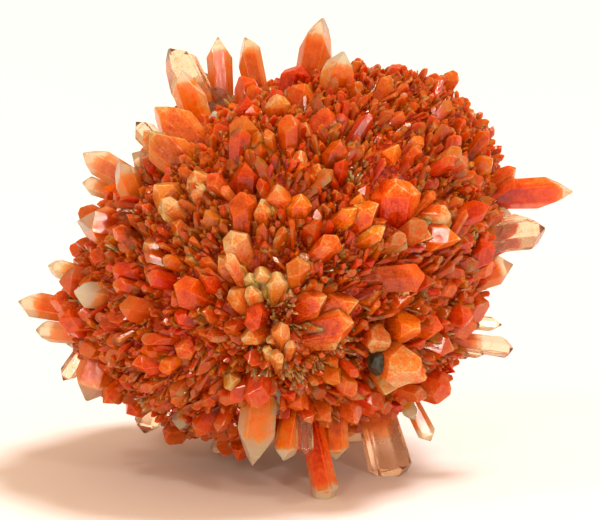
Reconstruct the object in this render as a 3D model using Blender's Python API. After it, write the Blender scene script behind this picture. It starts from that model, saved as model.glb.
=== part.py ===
"""A creedite cluster: one ball of orange crystals grown through each other, with one dark grain.

The crystals are laid out as they show from the front. A place is (across, up, near), in millimetres
from the middle of the ball: across to the viewer's right, up in the viewer's picture, and near
towards the viewer, who looks down on the ball by VIEW_TILT. The built part stands on the plane
z = 0, +X is the viewer's right and +Y points away from the viewer.
"""
import math
import random
from typing import NamedTuple

import bmesh
import bpy
from mathutils import Matrix, Vector

MM = 0.001

# The ball: half sizes of its three main directions, without the crystals that stand out
LONG_HALF = 39.0
SHORT_HALF = 30.0
DEEP_HALF = 33.5
LONG_TILT = math.radians(30.0)      # the long direction rises to the viewer's right
VIEW_TILT = math.radians(13.0)
MIDDLE = (-1.695, 0.732, 33.5)      # the ball's middle above the floor, in the part's own axes
GROWTH_START = (-1.1, -8.6)         # across and up: the line that the crystals set out from
GROWTH_FOLLOW = 0.66                # how near on that line they set out, over their tip's own nearness

# Swells and dips of the ball: direction, height in mm, and spread in degrees
SWELLS = (
    ((0.66, 0.75, 0.0), 3.6, 26.0),
    ((0.80, -0.60, 0.1), 3.5, 18.0),
    ((0.40, -0.92, 0.0), 2.0, 16.0),
    ((-0.18, -0.98, -0.2), -2.5, 20.0),
    ((-0.74, -0.68, 0.0), -3.0, 18.0),
    ((-0.90, -0.34, 0.1), 1.5, 18.0),
    ((-0.62, 0.78, 0.1), -1.0, 20.0),
)

# The grown-together mass that the crystals rise from
MASS_DEPTH = 6.4                    # how far its surface lies under the tips
MASS_ROUGHNESS = 1.2
ROOT_DEPTH = 7.0                    # how far a crystal's root is sunk in the mass

# The many crystals of middling size
FILL_COUNT = 350
FILL_WIDTH = (3.0, 4.6, 6.8)        # least, usual and greatest width
FILL_FLATNESS = (0.50, 0.85)        # thickness over width
FILL_REACH = (0.91, 1.03)           # tip distance over the ball's own reach
FILL_LEAN = 0.24                    # how far a crystal strays from straight outwards
FILL_SCATTER = 0.05                 # how far its place strays from an even spread
FILL_SLANT = (36.0, 62.0)           # tilt of its two end faces, in degrees
FINE_SIDE = (0.72, 0.66, 0.2)       # the side where the crystals are finer
FINE_SPREAD = 0.80                  # least cosine to that side
FINE_SCALE = 0.72
CLEARANCE = 0.85                    # share of the half widths that two axes keep apart
FLOOR_CLEARANCE = 0.8               # least height of a crystal that isn't a foot
SEED = 11

ROOT_TAPER = 0.78                   # width at the root over the width at the shoulders
RIDGE_SHARE = 0.16                  # how far over the tip the thin ends would meet, over the thickness
END_ON = 0.35                       # least sine between a crystal and the view, to set its width by it
CUT_TOLERANCE = 1e-7
GOLDEN_ANGLE = math.pi * (3.0 - math.sqrt(5.0))
FACET_MERGE = 0.001                 # edges shorter than this, in mm, are closed up

# The dark grain, set in the front below and right of the middle
GRAIN_PLACE = (14.7, -15.9, 23.0)
GRAIN_SIZE = (4.2, 4.6, 3.6)        # across, up and near
GRAIN_TURN = math.radians(25.0)
GRAIN_GAP = 0.3
GRAIN_INNER_RADIUS = 1.45           # from its middle to its nearest face
GRAIN_CUTS = (                      # broken faces: direction, and depth as a share of the half size
    ((0.3, 0.2, 1.0), 0.72),
    ((-1.0, 0.4, 0.2), 0.78),
    ((0.5, -1.0, 0.3), 0.80),
)


class Crystal(NamedTuple):
    """A crystal that can be told apart: tip, root and size in millimetres."""

    tip: tuple
    root: tuple
    width: float
    thickness: float
    roll: float = 0.0               # degrees; at 0 the broad side faces the viewer
    slants: tuple = (58.0, 56.0)    # tilt of the two end faces off square, in degrees
    pinch: float = 50.0             # tilt of the two end faces on the thin sides


# Crystals that stand out on top, from left to right
TOP = (
    Crystal((-18.8, 34.6, 0.5), (-12.6, 23.2, -1.0), 7.4, 4.0, 20.0, (44.0, 62.0)),
    Crystal((-16.6, 30.9, 5.5), (-13.4, 20.5, 4.0), 5.6, 3.6, -12.0, (62.0, 52.0)),
    Crystal((-10.9, 36.7, -2.0), (-10.3, 27.5, -2.5), 4.6, 3.2, 0.0, (60.0, 58.0)),
    Crystal((-6.6, 36.6, -2.0), (-4.4, 27.0, -2.5), 4.5, 3.4, 8.0, (46.0, 66.0)),
    Crystal((6.2, 39.7, -1.0), (3.6, 27.0, -2.0), 6.4, 4.2, -16.0, (66.0, 62.0)),
    Crystal((9.4, 33.8, 8.5), (7.0, 21.0, 8.0), 6.6, 4.6, 22.0, (64.0, 50.0)),
)

# Crystals that stand out on the right side, from the top down
RIGHT = (
    Crystal((46.7, 11.4, 1.0), (31.0, 10.8, 1.0), 5.6, 3.8, 10.0, (66.0, 60.0)),
    Crystal((42.0, 5.4, 6.0), (28.0, 3.6, 5.0), 6.6, 4.4, -14.0, (40.0, 56.0)),
    Crystal((36.9, -0.4, 4.0), (28.6, -3.4, 3.0), 5.0, 3.4, 0.0, (52.0, 40.0)),
    Crystal((35.2, -10.2, 0.0), (28.0, -9.6, 0.0), 2.6, 1.9, 0.0),
    Crystal((36.9, -14.0, 2.0), (28.0, -12.8, 2.0), 3.6, 2.6, 15.0, (34.0, 50.0)),
    Crystal((23.6, -29.0, 2.0), (20.0, -22.0, 2.0), 3.2, 2.2, 0.0, (44.0, 44.0)),
)

# Crystals that stand out on the left side, from the top down
LEFT = (
    Crystal((-24.2, 22.7, 0.0), (-19.0, 17.0, 0.0), 4.0, 2.8, 10.0, (50.0, 46.0)),
    Crystal((-32.8, 17.7, 0.0), (-24.0, 12.6, 0.0), 5.0, 3.4, -10.0, (56.0, 52.0)),
    Crystal((-26.6, 16.0, 12.0), (-22.6, 7.4, 11.0), 4.6, 3.2, 15.0, (50.0, 60.0)),
    Crystal((-33.0, 12.9, -2.0), (-26.0, 10.6, -2.0), 3.2, 2.2, 0.0, (38.0, 54.0)),
    Crystal((-33.2, 6.6, 10.0), (-24.0, 4.4, 8.0), 7.2, 5.0, 12.0, (50.0, 54.0)),
    Crystal((-38.3, -0.6, 3.0), (-29.0, -3.2, 3.0), 3.4, 2.4, 20.0, (50.0, 50.0)),
    Crystal((-33.6, -4.8, 15.0), (-23.0, -6.4, 12.0), 5.8, 3.8, -28.0, (62.0, 50.0)),
    Crystal((-43.3, -6.4, 0.0), (-31.0, -8.6, 0.0), 4.6, 3.2, 10.0, (58.0, 46.0)),
    Crystal((-40.4, -11.0, 1.0), (-31.0, -12.0, 1.0), 3.8, 2.8, -15.0, (44.0, 54.0)),
    Crystal((-35.9, -19.2, 2.0), (-31.0, -12.0, 2.0), 3.0, 2.0, 0.0, (46.0, 46.0)),
    Crystal((-32.0, -22.4, 6.0), (-28.6, -13.0, 5.0), 7.0, 5.2, 10.0, (50.0, 46.0)),
)

# Crystals that hang at the bottom, from left to right
BOTTOM = (
    Crystal((-22.7, -27.8, 1.0), (-21.0, -20.0, 1.0), 4.6, 3.2, 10.0, (42.0, 40.0)),
    Crystal((-16.8, -26.9, 11.0), (-15.0, -18.0, 9.0), 3.4, 2.6, 0.0, (40.0, 40.0)),
    Crystal((-5.1, -32.3, 20.5), (-3.6, -18.0, 18.0), 6.6, 3.0, -8.0, (62.0, 58.0)),
    Crystal((-0.2, -31.6, 16.0), (1.6, -22.0, 14.0), 4.4, 3.0, 18.0, (48.0, 48.0)),
    Crystal((3.3, -30.8, 18.0), (3.0, -22.0, 15.0), 2.8, 2.0, 0.0, (48.0, 44.0)),
    Crystal((8.2, -31.8, 9.0), (8.0, -23.0, 8.0), 4.6, 3.2, 0.0, (36.0, 44.0)),
)

# Crystals that show on the front, from the top down
FRONT = (
    Crystal((-1.3, 26.6, 17.0), (-0.6, 19.0, 13.0), 4.4, 3.4, 0.0, (40.0, 44.0)),
    Crystal((-20.9, 24.8, 12.0), (-10.6, 13.6, 12.0), 8.4, 3.4, 14.0, (48.0, 62.0)),
    Crystal((3.4, 22.0, 22.0), (2.4, 14.0, 16.0), 4.0, 3.0, 10.0),
    Crystal((17.8, 18.5, 22.5), (12.4, 11.0, 17.0), 5.6, 4.0, -10.0, (52.0, 58.0)),
    Crystal((2.6, 17.4, 26.0), (1.6, 10.0, 19.0), 3.4, 2.6, 0.0),
    Crystal((5.4, 15.3, 27.0), (4.4, 8.0, 20.0), 3.6, 2.6, 15.0),
    Crystal((-20.6, 12.2, 21.0), (-14.4, 6.6, 18.0), 6.4, 4.2, 8.0, (44.0, 50.0)),
    Crystal((-14.2, 14.4, 23.0), (-11.6, 7.0, 19.5), 4.8, 3.4, 12.0, (40.0, 44.0)),
    Crystal((-1.2, 12.0, 29.0), (-1.0, 4.4, 24.5), 5.6, 3.8, -10.0, (46.0, 50.0)),
    Crystal((2.6, 10.6, 29.5), (1.2, 3.0, 25.0), 4.6, 3.2, 10.0, (40.0, 52.0)),
    Crystal((17.5, 12.8, 26.5), (16.4, 3.4, 21.5), 8.8, 5.4, 6.0, (24.0, 40.0), 42.0),
    Crystal((25.8, 7.3, 22.0), (20.0, 4.0, 16.0), 5.2, 4.0, 0.0, (44.0, 44.0)),
    Crystal((-8.3, 4.9, 31.0), (-4.6, -3.2, 26.0), 5.2, 3.6, 20.0, (40.0, 40.0)),
    Crystal((14.7, 9.0, 29.5), (7.4, 3.0, 24.0), 5.2, 3.4, 10.0, (60.0, 52.0)),
    Crystal((27.9, 3.6, 23.0), (15.6, 5.2, 20.5), 5.6, 3.8, -6.0, (60.0, 56.0)),
    Crystal((-22.0, 3.0, 22.0), (-16.0, 0.6, 16.0), 4.4, 3.6, 0.0, (50.0, 44.0)),
    Crystal((-18.6, -0.6, 24.5), (-13.0, -2.0, 18.0), 4.6, 3.4, 20.0),
    Crystal((-14.0, -0.9, 28.0), (-7.6, -5.0, 22.0), 3.8, 3.0, 0.0, (54.0, 58.0)),
    Crystal((-3.8, -0.8, 32.0), (-2.6, -7.0, 26.5), 4.0, 2.4, 0.0, (52.0, 52.0)),
    Crystal((-1.2, -1.6, 32.4), (-1.4, -8.0, 26.5), 4.2, 2.2, 10.0, (50.0, 54.0)),
    Crystal((-8.4, -4.4, 31.0), (-3.6, -8.4, 26.0), 4.4, 3.0, 20.0, (44.0, 48.0)),
    Crystal((6.6, -5.4, 31.0), (0.6, -8.4, 26.5), 5.2, 2.4, 10.0, (56.0, 52.0)),
    Crystal((-0.4, -10.0, 32.5), (-1.0, -13.4, 26.0), 3.8, 2.4, -20.0),
    Crystal((-6.6, -12.0, 30.5), (-2.6, -10.6, 26.0), 3.8, 2.6, 10.0),
    Crystal((11.6, -6.2, 29.0), (4.0, -8.4, 25.5), 7.0, 3.6, 10.0, (52.0, 56.0)),
    Crystal((21.0, -10.5, 24.5), (15.0, -10.0, 17.0), 6.4, 4.0, 10.0),
    Crystal((-22.3, -12.7, 21.0), (-15.0, -11.2, 17.0), 3.8, 2.8, 10.0, (60.0, 50.0)),
    Crystal((-16.8, -13.6, 25.0), (-12.0, -12.0, 18.0), 5.0, 3.8, 0.0, (50.0, 40.0)),
    Crystal((19.4, -17.4, 24.6), (14.0, -13.6, 16.0), 7.4, 6.2, 30.0, (30.0, 36.0), 30.0),
    Crystal((-8.6, -19.6, 25.0), (-7.0, -16.0, 16.0), 3.6, 2.6, 0.0),
)

# Crystals that the ball stands on: their ends are broken off flat in the plane of the floor
FEET = (
    Crystal((6.9, -38.4, 14.4), (4.0, -25.0, 10.0), 4.6, 3.6, 10.0, (30.0, 44.0)),
    Crystal((17.8, -35.8, -0.4), (14.6, -24.0, -1.0), 7.6, 5.2, 12.0, (40.0, 34.0)),
    Crystal((-10.6, -32.6, -15.4), (-7.0, -20.0, -10.0), 4.6, 3.8, 0.0, (36.0, 36.0)),
    Crystal((12.0, -30.6, -23.0), (8.0, -17.0, -14.0), 4.8, 4.0, 0.0, (36.0, 36.0)),
)


def to_part(place):
    """Turns a place seen from the front into the part's own axes, in metres."""
    across, up, near = place
    lean_cos, lean_sin = math.cos(VIEW_TILT), math.sin(VIEW_TILT)
    turned = Vector((across, up * lean_sin - near * lean_cos, up * lean_cos + near * lean_sin))
    return (turned + Vector(MIDDLE)) * MM


def reach(direction):
    """The distance in millimetres from the ball's middle to its tips, along a unit direction."""
    along = direction.x * math.cos(LONG_TILT) + direction.y * math.sin(LONG_TILT)
    cross = direction.y * math.cos(LONG_TILT) - direction.x * math.sin(LONG_TILT)
    stretch = (along / LONG_HALF) ** 2 + (cross / SHORT_HALF) ** 2 + (direction.z / DEEP_HALF) ** 2
    distance = 1.0 / math.sqrt(stretch)
    for place, height, spread in SWELLS:
        angle = math.degrees(direction.angle(Vector(place)))
        distance += height * math.exp(-((angle / spread) ** 2))
    return distance


def spiral_directions(count, rng, jitter):
    """Unit directions spread evenly over a ball, each moved a little."""
    for index in range(count):
        height = 1.0 - 2.0 * (index + 0.5) / count
        ring = math.sqrt(1.0 - height * height)
        turn = index * GOLDEN_ANGLE
        spot = Vector((ring * math.cos(turn), ring * math.sin(turn), height))
        spot += Vector([rng.uniform(-jitter, jitter) for _ in range(3)])
        yield spot.normalized()


def fill_crystals(rng, standing):
    """The many middling crystals, kept clear of the standing ones."""
    fine_side = Vector(FINE_SIDE).normalized()
    crystals = []
    for direction in spiral_directions(FILL_COUNT, rng, FILL_SCATTER):
        width = rng.triangular(FILL_WIDTH[0], FILL_WIDTH[2], FILL_WIDTH[1])
        thickness = width * rng.uniform(*FILL_FLATNESS)
        tip_reach = reach(direction) * rng.uniform(*FILL_REACH)
        stray = Vector([rng.uniform(-FILL_LEAN, FILL_LEAN) for _ in range(3)])
        roll = rng.uniform(-90.0, 90.0)
        slants = (rng.uniform(*FILL_SLANT), rng.uniform(*FILL_SLANT))
        if direction.dot(fine_side) > FINE_SPREAD:
            width, thickness = width * FINE_SCALE, thickness * FINE_SCALE
        tip = direction * tip_reach
        start = Vector((*GROWTH_START, GROWTH_FOLLOW * tip.z))
        axis = ((tip - start).normalized() + stray).normalized()
        root = tip - axis * (MASS_DEPTH + tip_reach - reach(direction))
        crystal = Crystal(tuple(tip), tuple(root), width, thickness, roll, slants)
        if to_part(tip).z > FLOOR_CLEARANCE * MM and not crowds(crystal, standing):
            crystals.append(crystal)
    return crystals


def gap_to(crystal, place):
    """The distance from a place to a crystal's own line between root and tip."""
    foot, point = Vector(crystal.root), Vector(place)
    axis = Vector(crystal.tip) - foot
    share = min(1.0, max(0.0, (point - foot).dot(axis) / axis.length_squared))
    return (foot + axis * share - point).length


def crowds(crystal, standing):
    """Whether a crystal's tip lies in one of the standing crystals, or the other way round."""
    for other in standing:
        room = CLEARANCE * (other.width + crystal.width) / 2.0
        if gap_to(other, crystal.tip) < room or gap_to(crystal, other.tip) < crystal.width / 2.0:
            return True
    return False


def crystal_frame(tip, root, roll):
    """The turn that sets a crystal's length on its axis and its width across the view."""
    axis = (tip - root).normalized()
    viewer = to_part((0.0, 0.0, 1.0)) - to_part((0.0, 0.0, 0.0))
    width_way = axis.cross(viewer.normalized())
    if width_way.length < END_ON:
        width_way = axis.cross(Vector((0.0, 0.0, 1.0)))
    width_way.normalize()
    thick_way = width_way.cross(axis)
    turned = Matrix((thick_way, width_way, axis)).transposed().to_4x4()
    return Matrix.Translation(root) @ turned @ Matrix.Rotation(math.radians(roll), 4, "Z")


def slice_off(shape, point, normal):
    """Cuts a convex shape along a plane, drops the side that the normal points to and closes it."""
    everything = shape.verts[:] + shape.edges[:] + shape.faces[:]
    cut = bmesh.ops.bisect_plane(
        shape,
        geom=everything,
        dist=CUT_TOLERANCE,
        plane_co=point,
        plane_no=normal,
        clear_outer=True,
    )
    rim = [edge for edge in cut["geom_cut"] if isinstance(edge, bmesh.types.BMEdge)]
    if len(rim) > 2:
        bmesh.ops.edgeloop_fill(shape, edges=rim)


def crystal_shape(crystal, sides, floor_cut=False):
    """One crystal: a flattened prism with sloping end faces, in the part's own axes."""
    tip, root = to_part(crystal.tip), to_part(crystal.root)
    root -= (tip - root).normalized() * ROOT_DEPTH * MM
    length = (tip - root).length
    shape = bmesh.new()
    bmesh.ops.create_cone(
        shape, cap_ends=True, segments=sides, radius1=0.5 * ROOT_TAPER, radius2=0.5, depth=length
    )
    bmesh.ops.translate(shape, verts=shape.verts[:], vec=(0.0, 0.0, length / 2.0))
    flat = crystal.thickness / math.cos(math.pi / 6.0) if sides == 6 else crystal.thickness
    bmesh.ops.scale(shape, verts=shape.verts[:], vec=(flat * MM, crystal.width * MM, 1.0))
    end = Vector((0.0, 0.0, length))
    tilts = [(0.0, 1.0, crystal.slants[0]), (0.0, -1.0, crystal.slants[1])]
    if sides == 6:
        tilts += [(1.0, 0.0, crystal.pinch), (-1.0, 0.0, crystal.pinch)]
    for thick_side, width_side, slant in tilts:
        lean = math.sin(math.radians(slant))
        normal = (thick_side * lean, width_side * lean, math.cos(math.radians(slant)))
        lift = RIDGE_SHARE * crystal.thickness * MM if thick_side else 0.0
        slice_off(shape, end + Vector((0.0, 0.0, lift)), normal)
    shape.transform(crystal_frame(tip, root, crystal.roll))
    if floor_cut:
        slice_off(shape, Vector((0.0, 0.0, 0.0)), (0.0, 0.0, -1.0))
    bmesh.ops.recalc_face_normals(shape, faces=shape.faces[:])
    return shape


def mass_shape(rng):
    """The lobed mass in which the crystals have grown together."""
    shape = bmesh.new()
    bmesh.ops.create_icosphere(shape, subdivisions=2, radius=1.0)
    for vert in shape.verts:
        direction = vert.co.normalized()
        depth = MASS_DEPTH + rng.uniform(-MASS_ROUGHNESS, MASS_ROUGHNESS)
        vert.co = to_part(direction * (reach(direction) - depth))
    bmesh.ops.recalc_face_normals(shape, faces=shape.faces[:])
    return shape


def grain_shape(grow):
    """The dark grain, with its faces moved outwards by grow millimetres."""
    shape = bmesh.new()
    bmesh.ops.create_icosphere(shape, subdivisions=1, radius=1.0)
    for normal, depth in GRAIN_CUTS:
        slice_off(shape, Vector(normal).normalized() * depth, normal)
    half = Vector(GRAIN_SIZE) * 0.5 * (1.0 + grow / GRAIN_INNER_RADIUS)
    turn = Matrix.Rotation(GRAIN_TURN, 3, "Z")
    for vert in shape.verts:
        place = turn @ Vector([vert.co[i] * half[i] for i in range(3)])
        vert.co = to_part(place + Vector(GRAIN_PLACE))
    bmesh.ops.recalc_face_normals(shape, faces=shape.faces[:])
    bmesh.ops.triangulate(shape, faces=shape.faces[:])
    return shape


def new_object(name, shape):
    """Puts a finished shape in the scene as an object."""
    mesh = bpy.data.meshes.new(name)
    shape.to_mesh(mesh)
    shape.free()
    built = bpy.data.objects.new(name, mesh)
    bpy.context.scene.collection.objects.link(built)
    return built


def combine(base, shapes, operation):
    """Joins or cuts the base object with several closed shapes at once."""
    others = bpy.data.collections.new("others")
    for number, shape in enumerate(shapes):
        others.objects.link(new_object(f"other_{number}", shape))
    boolean = base.modifiers.new(operation.lower(), "BOOLEAN")
    boolean.operation = operation
    boolean.solver = "EXACT"
    boolean.operand_type = "COLLECTION"
    boolean.collection = others
    scene_state = bpy.context.evaluated_depsgraph_get()
    result = bpy.data.meshes.new_from_object(base.evaluated_get(scene_state))
    base.modifiers.clear()
    base.data = result
    for other in list(others.objects):
        bpy.data.objects.remove(other, do_unlink=True)
    bpy.data.collections.remove(others)


def islands(shape):
    """The separate closed skins of a shape, as lists of faces."""
    waiting = set(shape.faces)
    found = []
    while waiting:
        frontier = [waiting.pop()]
        island = []
        while frontier:
            face = frontier.pop()
            island.append(face)
            for side in face.edges:
                for neighbour in side.link_faces:
                    if neighbour in waiting:
                        waiting.remove(neighbour)
                        frontier.append(neighbour)
        found.append(island)
    return found


def tidy(solid):
    """Closes up slivers and drops enclosed hollows."""
    shape = bmesh.new()
    shape.from_mesh(solid.data)
    bmesh.ops.remove_doubles(shape, verts=shape.verts[:], dist=FACET_MERGE * MM)
    bmesh.ops.dissolve_degenerate(shape, edges=shape.edges[:], dist=FACET_MERGE * MM)
    skins = sorted(islands(shape), key=len)
    for skin in skins[:-1]:
        bmesh.ops.delete(shape, geom=skin, context="FACES")
    bmesh.ops.triangulate(shape, faces=shape.faces[:])
    shape.to_mesh(solid.data)
    shape.free()


def plain_material(name, colour, roughness, transmission=0.0):
    """A material with one colour."""
    material = bpy.data.materials.new(name)
    material.use_nodes = True
    shader = material.node_tree.nodes["Principled BSDF"]
    shader.inputs["Base Color"].default_value = (*colour, 1.0)
    shader.inputs["Roughness"].default_value = roughness
    shader.inputs["Transmission Weight"].default_value = transmission
    material.diffuse_color = (*colour, 1.0)
    return material


def build_cluster():
    """The whole intergrown ball of crystals, with a pocket for the grain."""
    rng = random.Random(SEED)
    named = TOP + RIGHT + LEFT + BOTTOM + FRONT
    shapes = [crystal_shape(crystal, 6) for crystal in named]
    shapes += [crystal_shape(crystal, 6, floor_cut=True) for crystal in FEET]
    shapes += [crystal_shape(crystal, 4) for crystal in fill_crystals(rng, named + FEET)]
    cluster = new_object("crystal_cluster", mass_shape(rng))
    combine(cluster, shapes, "UNION")
    combine(cluster, [grain_shape(GRAIN_GAP)], "DIFFERENCE")
    tidy(cluster)
    cluster.data.name = "crystal_cluster"
    cluster.data.materials.clear()
    cluster.data.materials.append(plain_material("orange creedite", (0.62, 0.12, 0.02), 0.12, 0.5))
    return cluster


def build_grain():
    """The one grain of a dark mineral."""
    grain = new_object("dark_mineral_grain", grain_shape(0.0))
    grain.data.materials.append(plain_material("dark mineral", (0.025, 0.030, 0.018), 0.35))
    return grain


def main():
    """Clears the scene and builds both pieces."""
    for old in list(bpy.data.objects):
        bpy.data.objects.remove(old, do_unlink=True)
    build_cluster()
    build_grain()


main()
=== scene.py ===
"""The looks of a creedite cluster: a ball of orange, clear-tipped crystals with one dark grain.

The crystals are laid out as they show from the front. A place is (across, up, near), in millimetres
from the middle of the ball: across to the viewer's right, up in the viewer's picture, and near
towards the viewer, who looks down on the ball by the ball's view_tilt. Everything is turned to the
frame's own axes, in metres, as it is built.
"""
import logging
import math
import random
from dataclasses import dataclass, field
from enum import Enum
from typing import Iterator, Sequence

import bmesh
import bpy
import numpy as np
from mathutils import Matrix, Vector, noise


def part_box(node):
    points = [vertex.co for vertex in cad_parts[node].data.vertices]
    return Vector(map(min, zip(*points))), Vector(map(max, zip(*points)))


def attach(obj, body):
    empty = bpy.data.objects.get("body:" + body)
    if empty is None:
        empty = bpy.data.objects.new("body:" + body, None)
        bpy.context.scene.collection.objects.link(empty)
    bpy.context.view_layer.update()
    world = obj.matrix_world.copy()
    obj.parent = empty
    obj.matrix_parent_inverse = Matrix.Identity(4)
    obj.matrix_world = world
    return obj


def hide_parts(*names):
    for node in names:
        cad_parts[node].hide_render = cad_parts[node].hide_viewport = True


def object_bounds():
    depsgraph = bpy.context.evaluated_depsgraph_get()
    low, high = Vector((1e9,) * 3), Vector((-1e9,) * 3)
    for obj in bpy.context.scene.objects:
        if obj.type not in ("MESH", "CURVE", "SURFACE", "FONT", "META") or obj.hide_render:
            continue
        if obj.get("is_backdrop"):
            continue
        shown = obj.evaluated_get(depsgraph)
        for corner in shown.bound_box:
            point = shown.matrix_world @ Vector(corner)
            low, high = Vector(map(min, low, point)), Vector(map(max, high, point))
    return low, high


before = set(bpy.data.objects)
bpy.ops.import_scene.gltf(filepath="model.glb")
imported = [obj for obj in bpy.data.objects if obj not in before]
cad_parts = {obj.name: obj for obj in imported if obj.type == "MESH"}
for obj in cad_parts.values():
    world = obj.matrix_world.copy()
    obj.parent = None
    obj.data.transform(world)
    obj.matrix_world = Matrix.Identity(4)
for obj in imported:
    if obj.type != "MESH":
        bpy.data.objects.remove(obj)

LOG = logging.getLogger("creedite")
MM = 0.001
Place = tuple[float, float, float]

CLUSTER_NODE = "crystal_cluster"
GRAIN_NODE = "dark_mineral_grain"

GOLDEN_ANGLE = math.pi * (3.0 - math.sqrt(5.0))
SWAY_SEED = 4                       # without it the noise would start from the clock
PLACE_SPREAD = 97.0                 # millimetres between two crystals in their inner patterns
SECOND_CHANCE = 7.31                # makes a second random number of a crystal's own one
CUT_TOLERANCE = 1e-5                # in millimetres, as all shapes are cut before they are placed
END_ON = 0.35                       # least sine between a crystal and the view to set its width by


@dataclass(frozen=True)
class Ball:
    """The lobed ball that the crystals make up, in millimetres.

    Its half sizes and swells say how far the tips of the crystals reach in each direction.
    """

    middle: Vector
    middle_in_box: Place = (-1.695, 0.732, 33.5)    # from the middle of the solid's underside
    long_half: float = 39.0
    short_half: float = 30.0
    deep_half: float = 33.5
    long_tilt: float = math.radians(30.0)
    view_tilt: float = math.radians(13.0)
    growth_start: tuple[float, float] = (-1.1, -8.6)
    growth_follow: float = 0.66
    mass_depth: float = 6.4
    root_depth: float = 7.0
    fine_side: Place = (0.72, 0.66, 0.2)
    fine_spread: float = 0.80       # least cosine to the fine side
    fine_blend: float = 0.06        # how far the cosine may be off it where the two kinds blend
    swells: tuple[tuple[Place, float, float], ...] = (      # way, height, spread in degrees
        ((0.66, 0.75, 0.0), 3.6, 26.0),
        ((0.80, -0.60, 0.1), 3.5, 18.0),
        ((0.40, -0.92, 0.0), 2.0, 16.0),
        ((-0.18, -0.98, -0.2), -2.5, 20.0),
        ((-0.74, -0.68, 0.0), -3.0, 18.0),
        ((-0.90, -0.34, 0.1), 1.5, 18.0),
        ((-0.62, 0.78, 0.1), -1.0, 20.0),
    )
    ground_rise: float = 2.4        # the dressed ground over the solid's, as druse fills the gaps
    fine_ground_rise: float = 2.5   # the same on the fine side, where the druse is thick
    lump_height: float = 1.5
    lump_size: float = 6.0

    @classmethod
    def in_frame(cls) -> "Ball":
        """Sets the ball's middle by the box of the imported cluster.

        Returns:
            The ball, with its middle in millimetres in the frame's axes.
        """
        low, high = (Vector(corner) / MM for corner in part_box(CLUSTER_NODE))
        centre = (low + high) / 2.0
        right, back, up = cls.middle_in_box
        return cls(middle=Vector((centre.x + right, centre.y + back, low.z + up)))

    def turn(self, place: Sequence[float]) -> Vector:
        """Turns a direction seen from the front into the frame's axes.

        Args:
            place: The direction, across, up and near.

        Returns:
            The same direction in the frame's axes.
        """
        across, up, near = place
        lean_cos, lean_sin = math.cos(self.view_tilt), math.sin(self.view_tilt)
        return Vector((across, up * lean_sin - near * lean_cos, up * lean_cos + near * lean_sin))

    def put(self, place: Sequence[float]) -> Vector:
        """Turns a place seen from the front into the frame's axes, in millimetres."""
        return self.turn(place) + self.middle

    def reaches(self, directions: np.ndarray) -> np.ndarray:
        """Tells how far the tips of the crystals reach.

        Args:
            directions: Unit directions as rows, seen from the front.

        Returns:
            The distances in millimetres from the ball's middle.
        """
        tilt_cos, tilt_sin = math.cos(self.long_tilt), math.sin(self.long_tilt)
        across, up, near = directions.T
        stretch = (
            ((across * tilt_cos + up * tilt_sin) / self.long_half) ** 2
            + ((up * tilt_cos - across * tilt_sin) / self.short_half) ** 2
            + (near / self.deep_half) ** 2
        )
        distances = 1.0 / np.sqrt(stretch)
        for place, height, spread in self.swells:
            way = np.array(place) / np.linalg.norm(place)
            angle = np.degrees(np.arccos(np.clip(directions @ way, -1.0, 1.0)))
            distances += height * np.exp(-((angle / spread) ** 2))
        return distances

    def reach(self, direction: Vector) -> float:
        """Tells how far the tips reach along one unit direction, seen from the front."""
        return float(self.reaches(np.array([direction]))[0])

    def depths(self, points: np.ndarray) -> np.ndarray:
        """Tells how deep points lie under the reach of the tips.

        Args:
            points: Places as rows, in millimetres in the frame's axes.

        Returns:
            The depths in millimetres, below 0 for what stands out.
        """
        lean_cos, lean_sin = math.cos(self.view_tilt), math.sin(self.view_tilt)
        x, y, z = (points - np.array(self.middle)).T
        seen = np.stack((x, y * lean_sin + z * lean_cos, z * lean_sin - y * lean_cos), 1)
        distances = np.linalg.norm(seen, axis=1)
        return self.reaches(seen / distances[:, None]) - distances

    def growth_axis(self, tip: Vector, off: Vector) -> Vector:
        """Tells which way a crystal has grown.

        Args:
            tip: Its tip, seen from the front.
            off: How far it strays from straight out of the line that the crystals set out from.

        Returns:
            The unit direction, seen from the front.
        """
        start = Vector((*self.growth_start, self.growth_follow * tip.z))
        return ((tip - start).normalized() + off).normalized()

    def fineness(self, direction: Vector) -> float:
        """Tells how far a direction is on the fine side.

        Args:
            direction: A unit direction, seen from the front.

        Returns:
            0 off the fine side, 1 on it, and a share of it where the two blend.
        """
        closeness = direction.dot(Vector(self.fine_side).normalized())
        ahead = closeness - self.fine_spread + self.fine_blend
        return min(1.0, max(0.0, ahead / (2.0 * self.fine_blend)))

    def ground(self, direction: Vector) -> float:
        """Tells how far the ground mass reaches, with its lumps.

        Args:
            direction: A unit direction, seen from the front.

        Returns:
            The distance in millimetres from the ball's middle.
        """
        fine = self.fineness(direction)
        rise = self.ground_rise + (self.fine_ground_rise - self.ground_rise) * fine
        lump = noise.noise(direction * (self.deep_half / self.lump_size))
        return self.reach(direction) - self.mass_depth + rise + self.lump_height * lump


class Habit(Enum):
    """How a crystal is coloured and how clear it is.

    The numbers are its share of pale tan, its clear end over the length that shows, and how
    glassy it is, from 0 to 1.
    """

    EMBER = (0.0, 0.22, 0.55)
    AMBER = (0.25, 0.32, 0.75)
    CLEAR = (0.3, 0.8, 1.0)
    TAN = (0.6, 0.4, 0.6)


EMBER, CLEAR, TAN = Habit.EMBER, Habit.CLEAR, Habit.TAN


@dataclass(frozen=True)
class Crystal:
    """A crystal's tip, root and size in millimetres, seen from the front.

    The roll turns it about its length, and at 0 its broad side faces the viewer. The slants tilt
    its two end faces off square, and the pinch those on its thin sides, in degrees.
    """

    tip: Place
    root: Place
    width: float
    thickness: float
    roll: float = 0.0
    slants: tuple[float, float] = (58.0, 56.0)
    pinch: float = 50.0
    habit: Habit = Habit.AMBER


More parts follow.
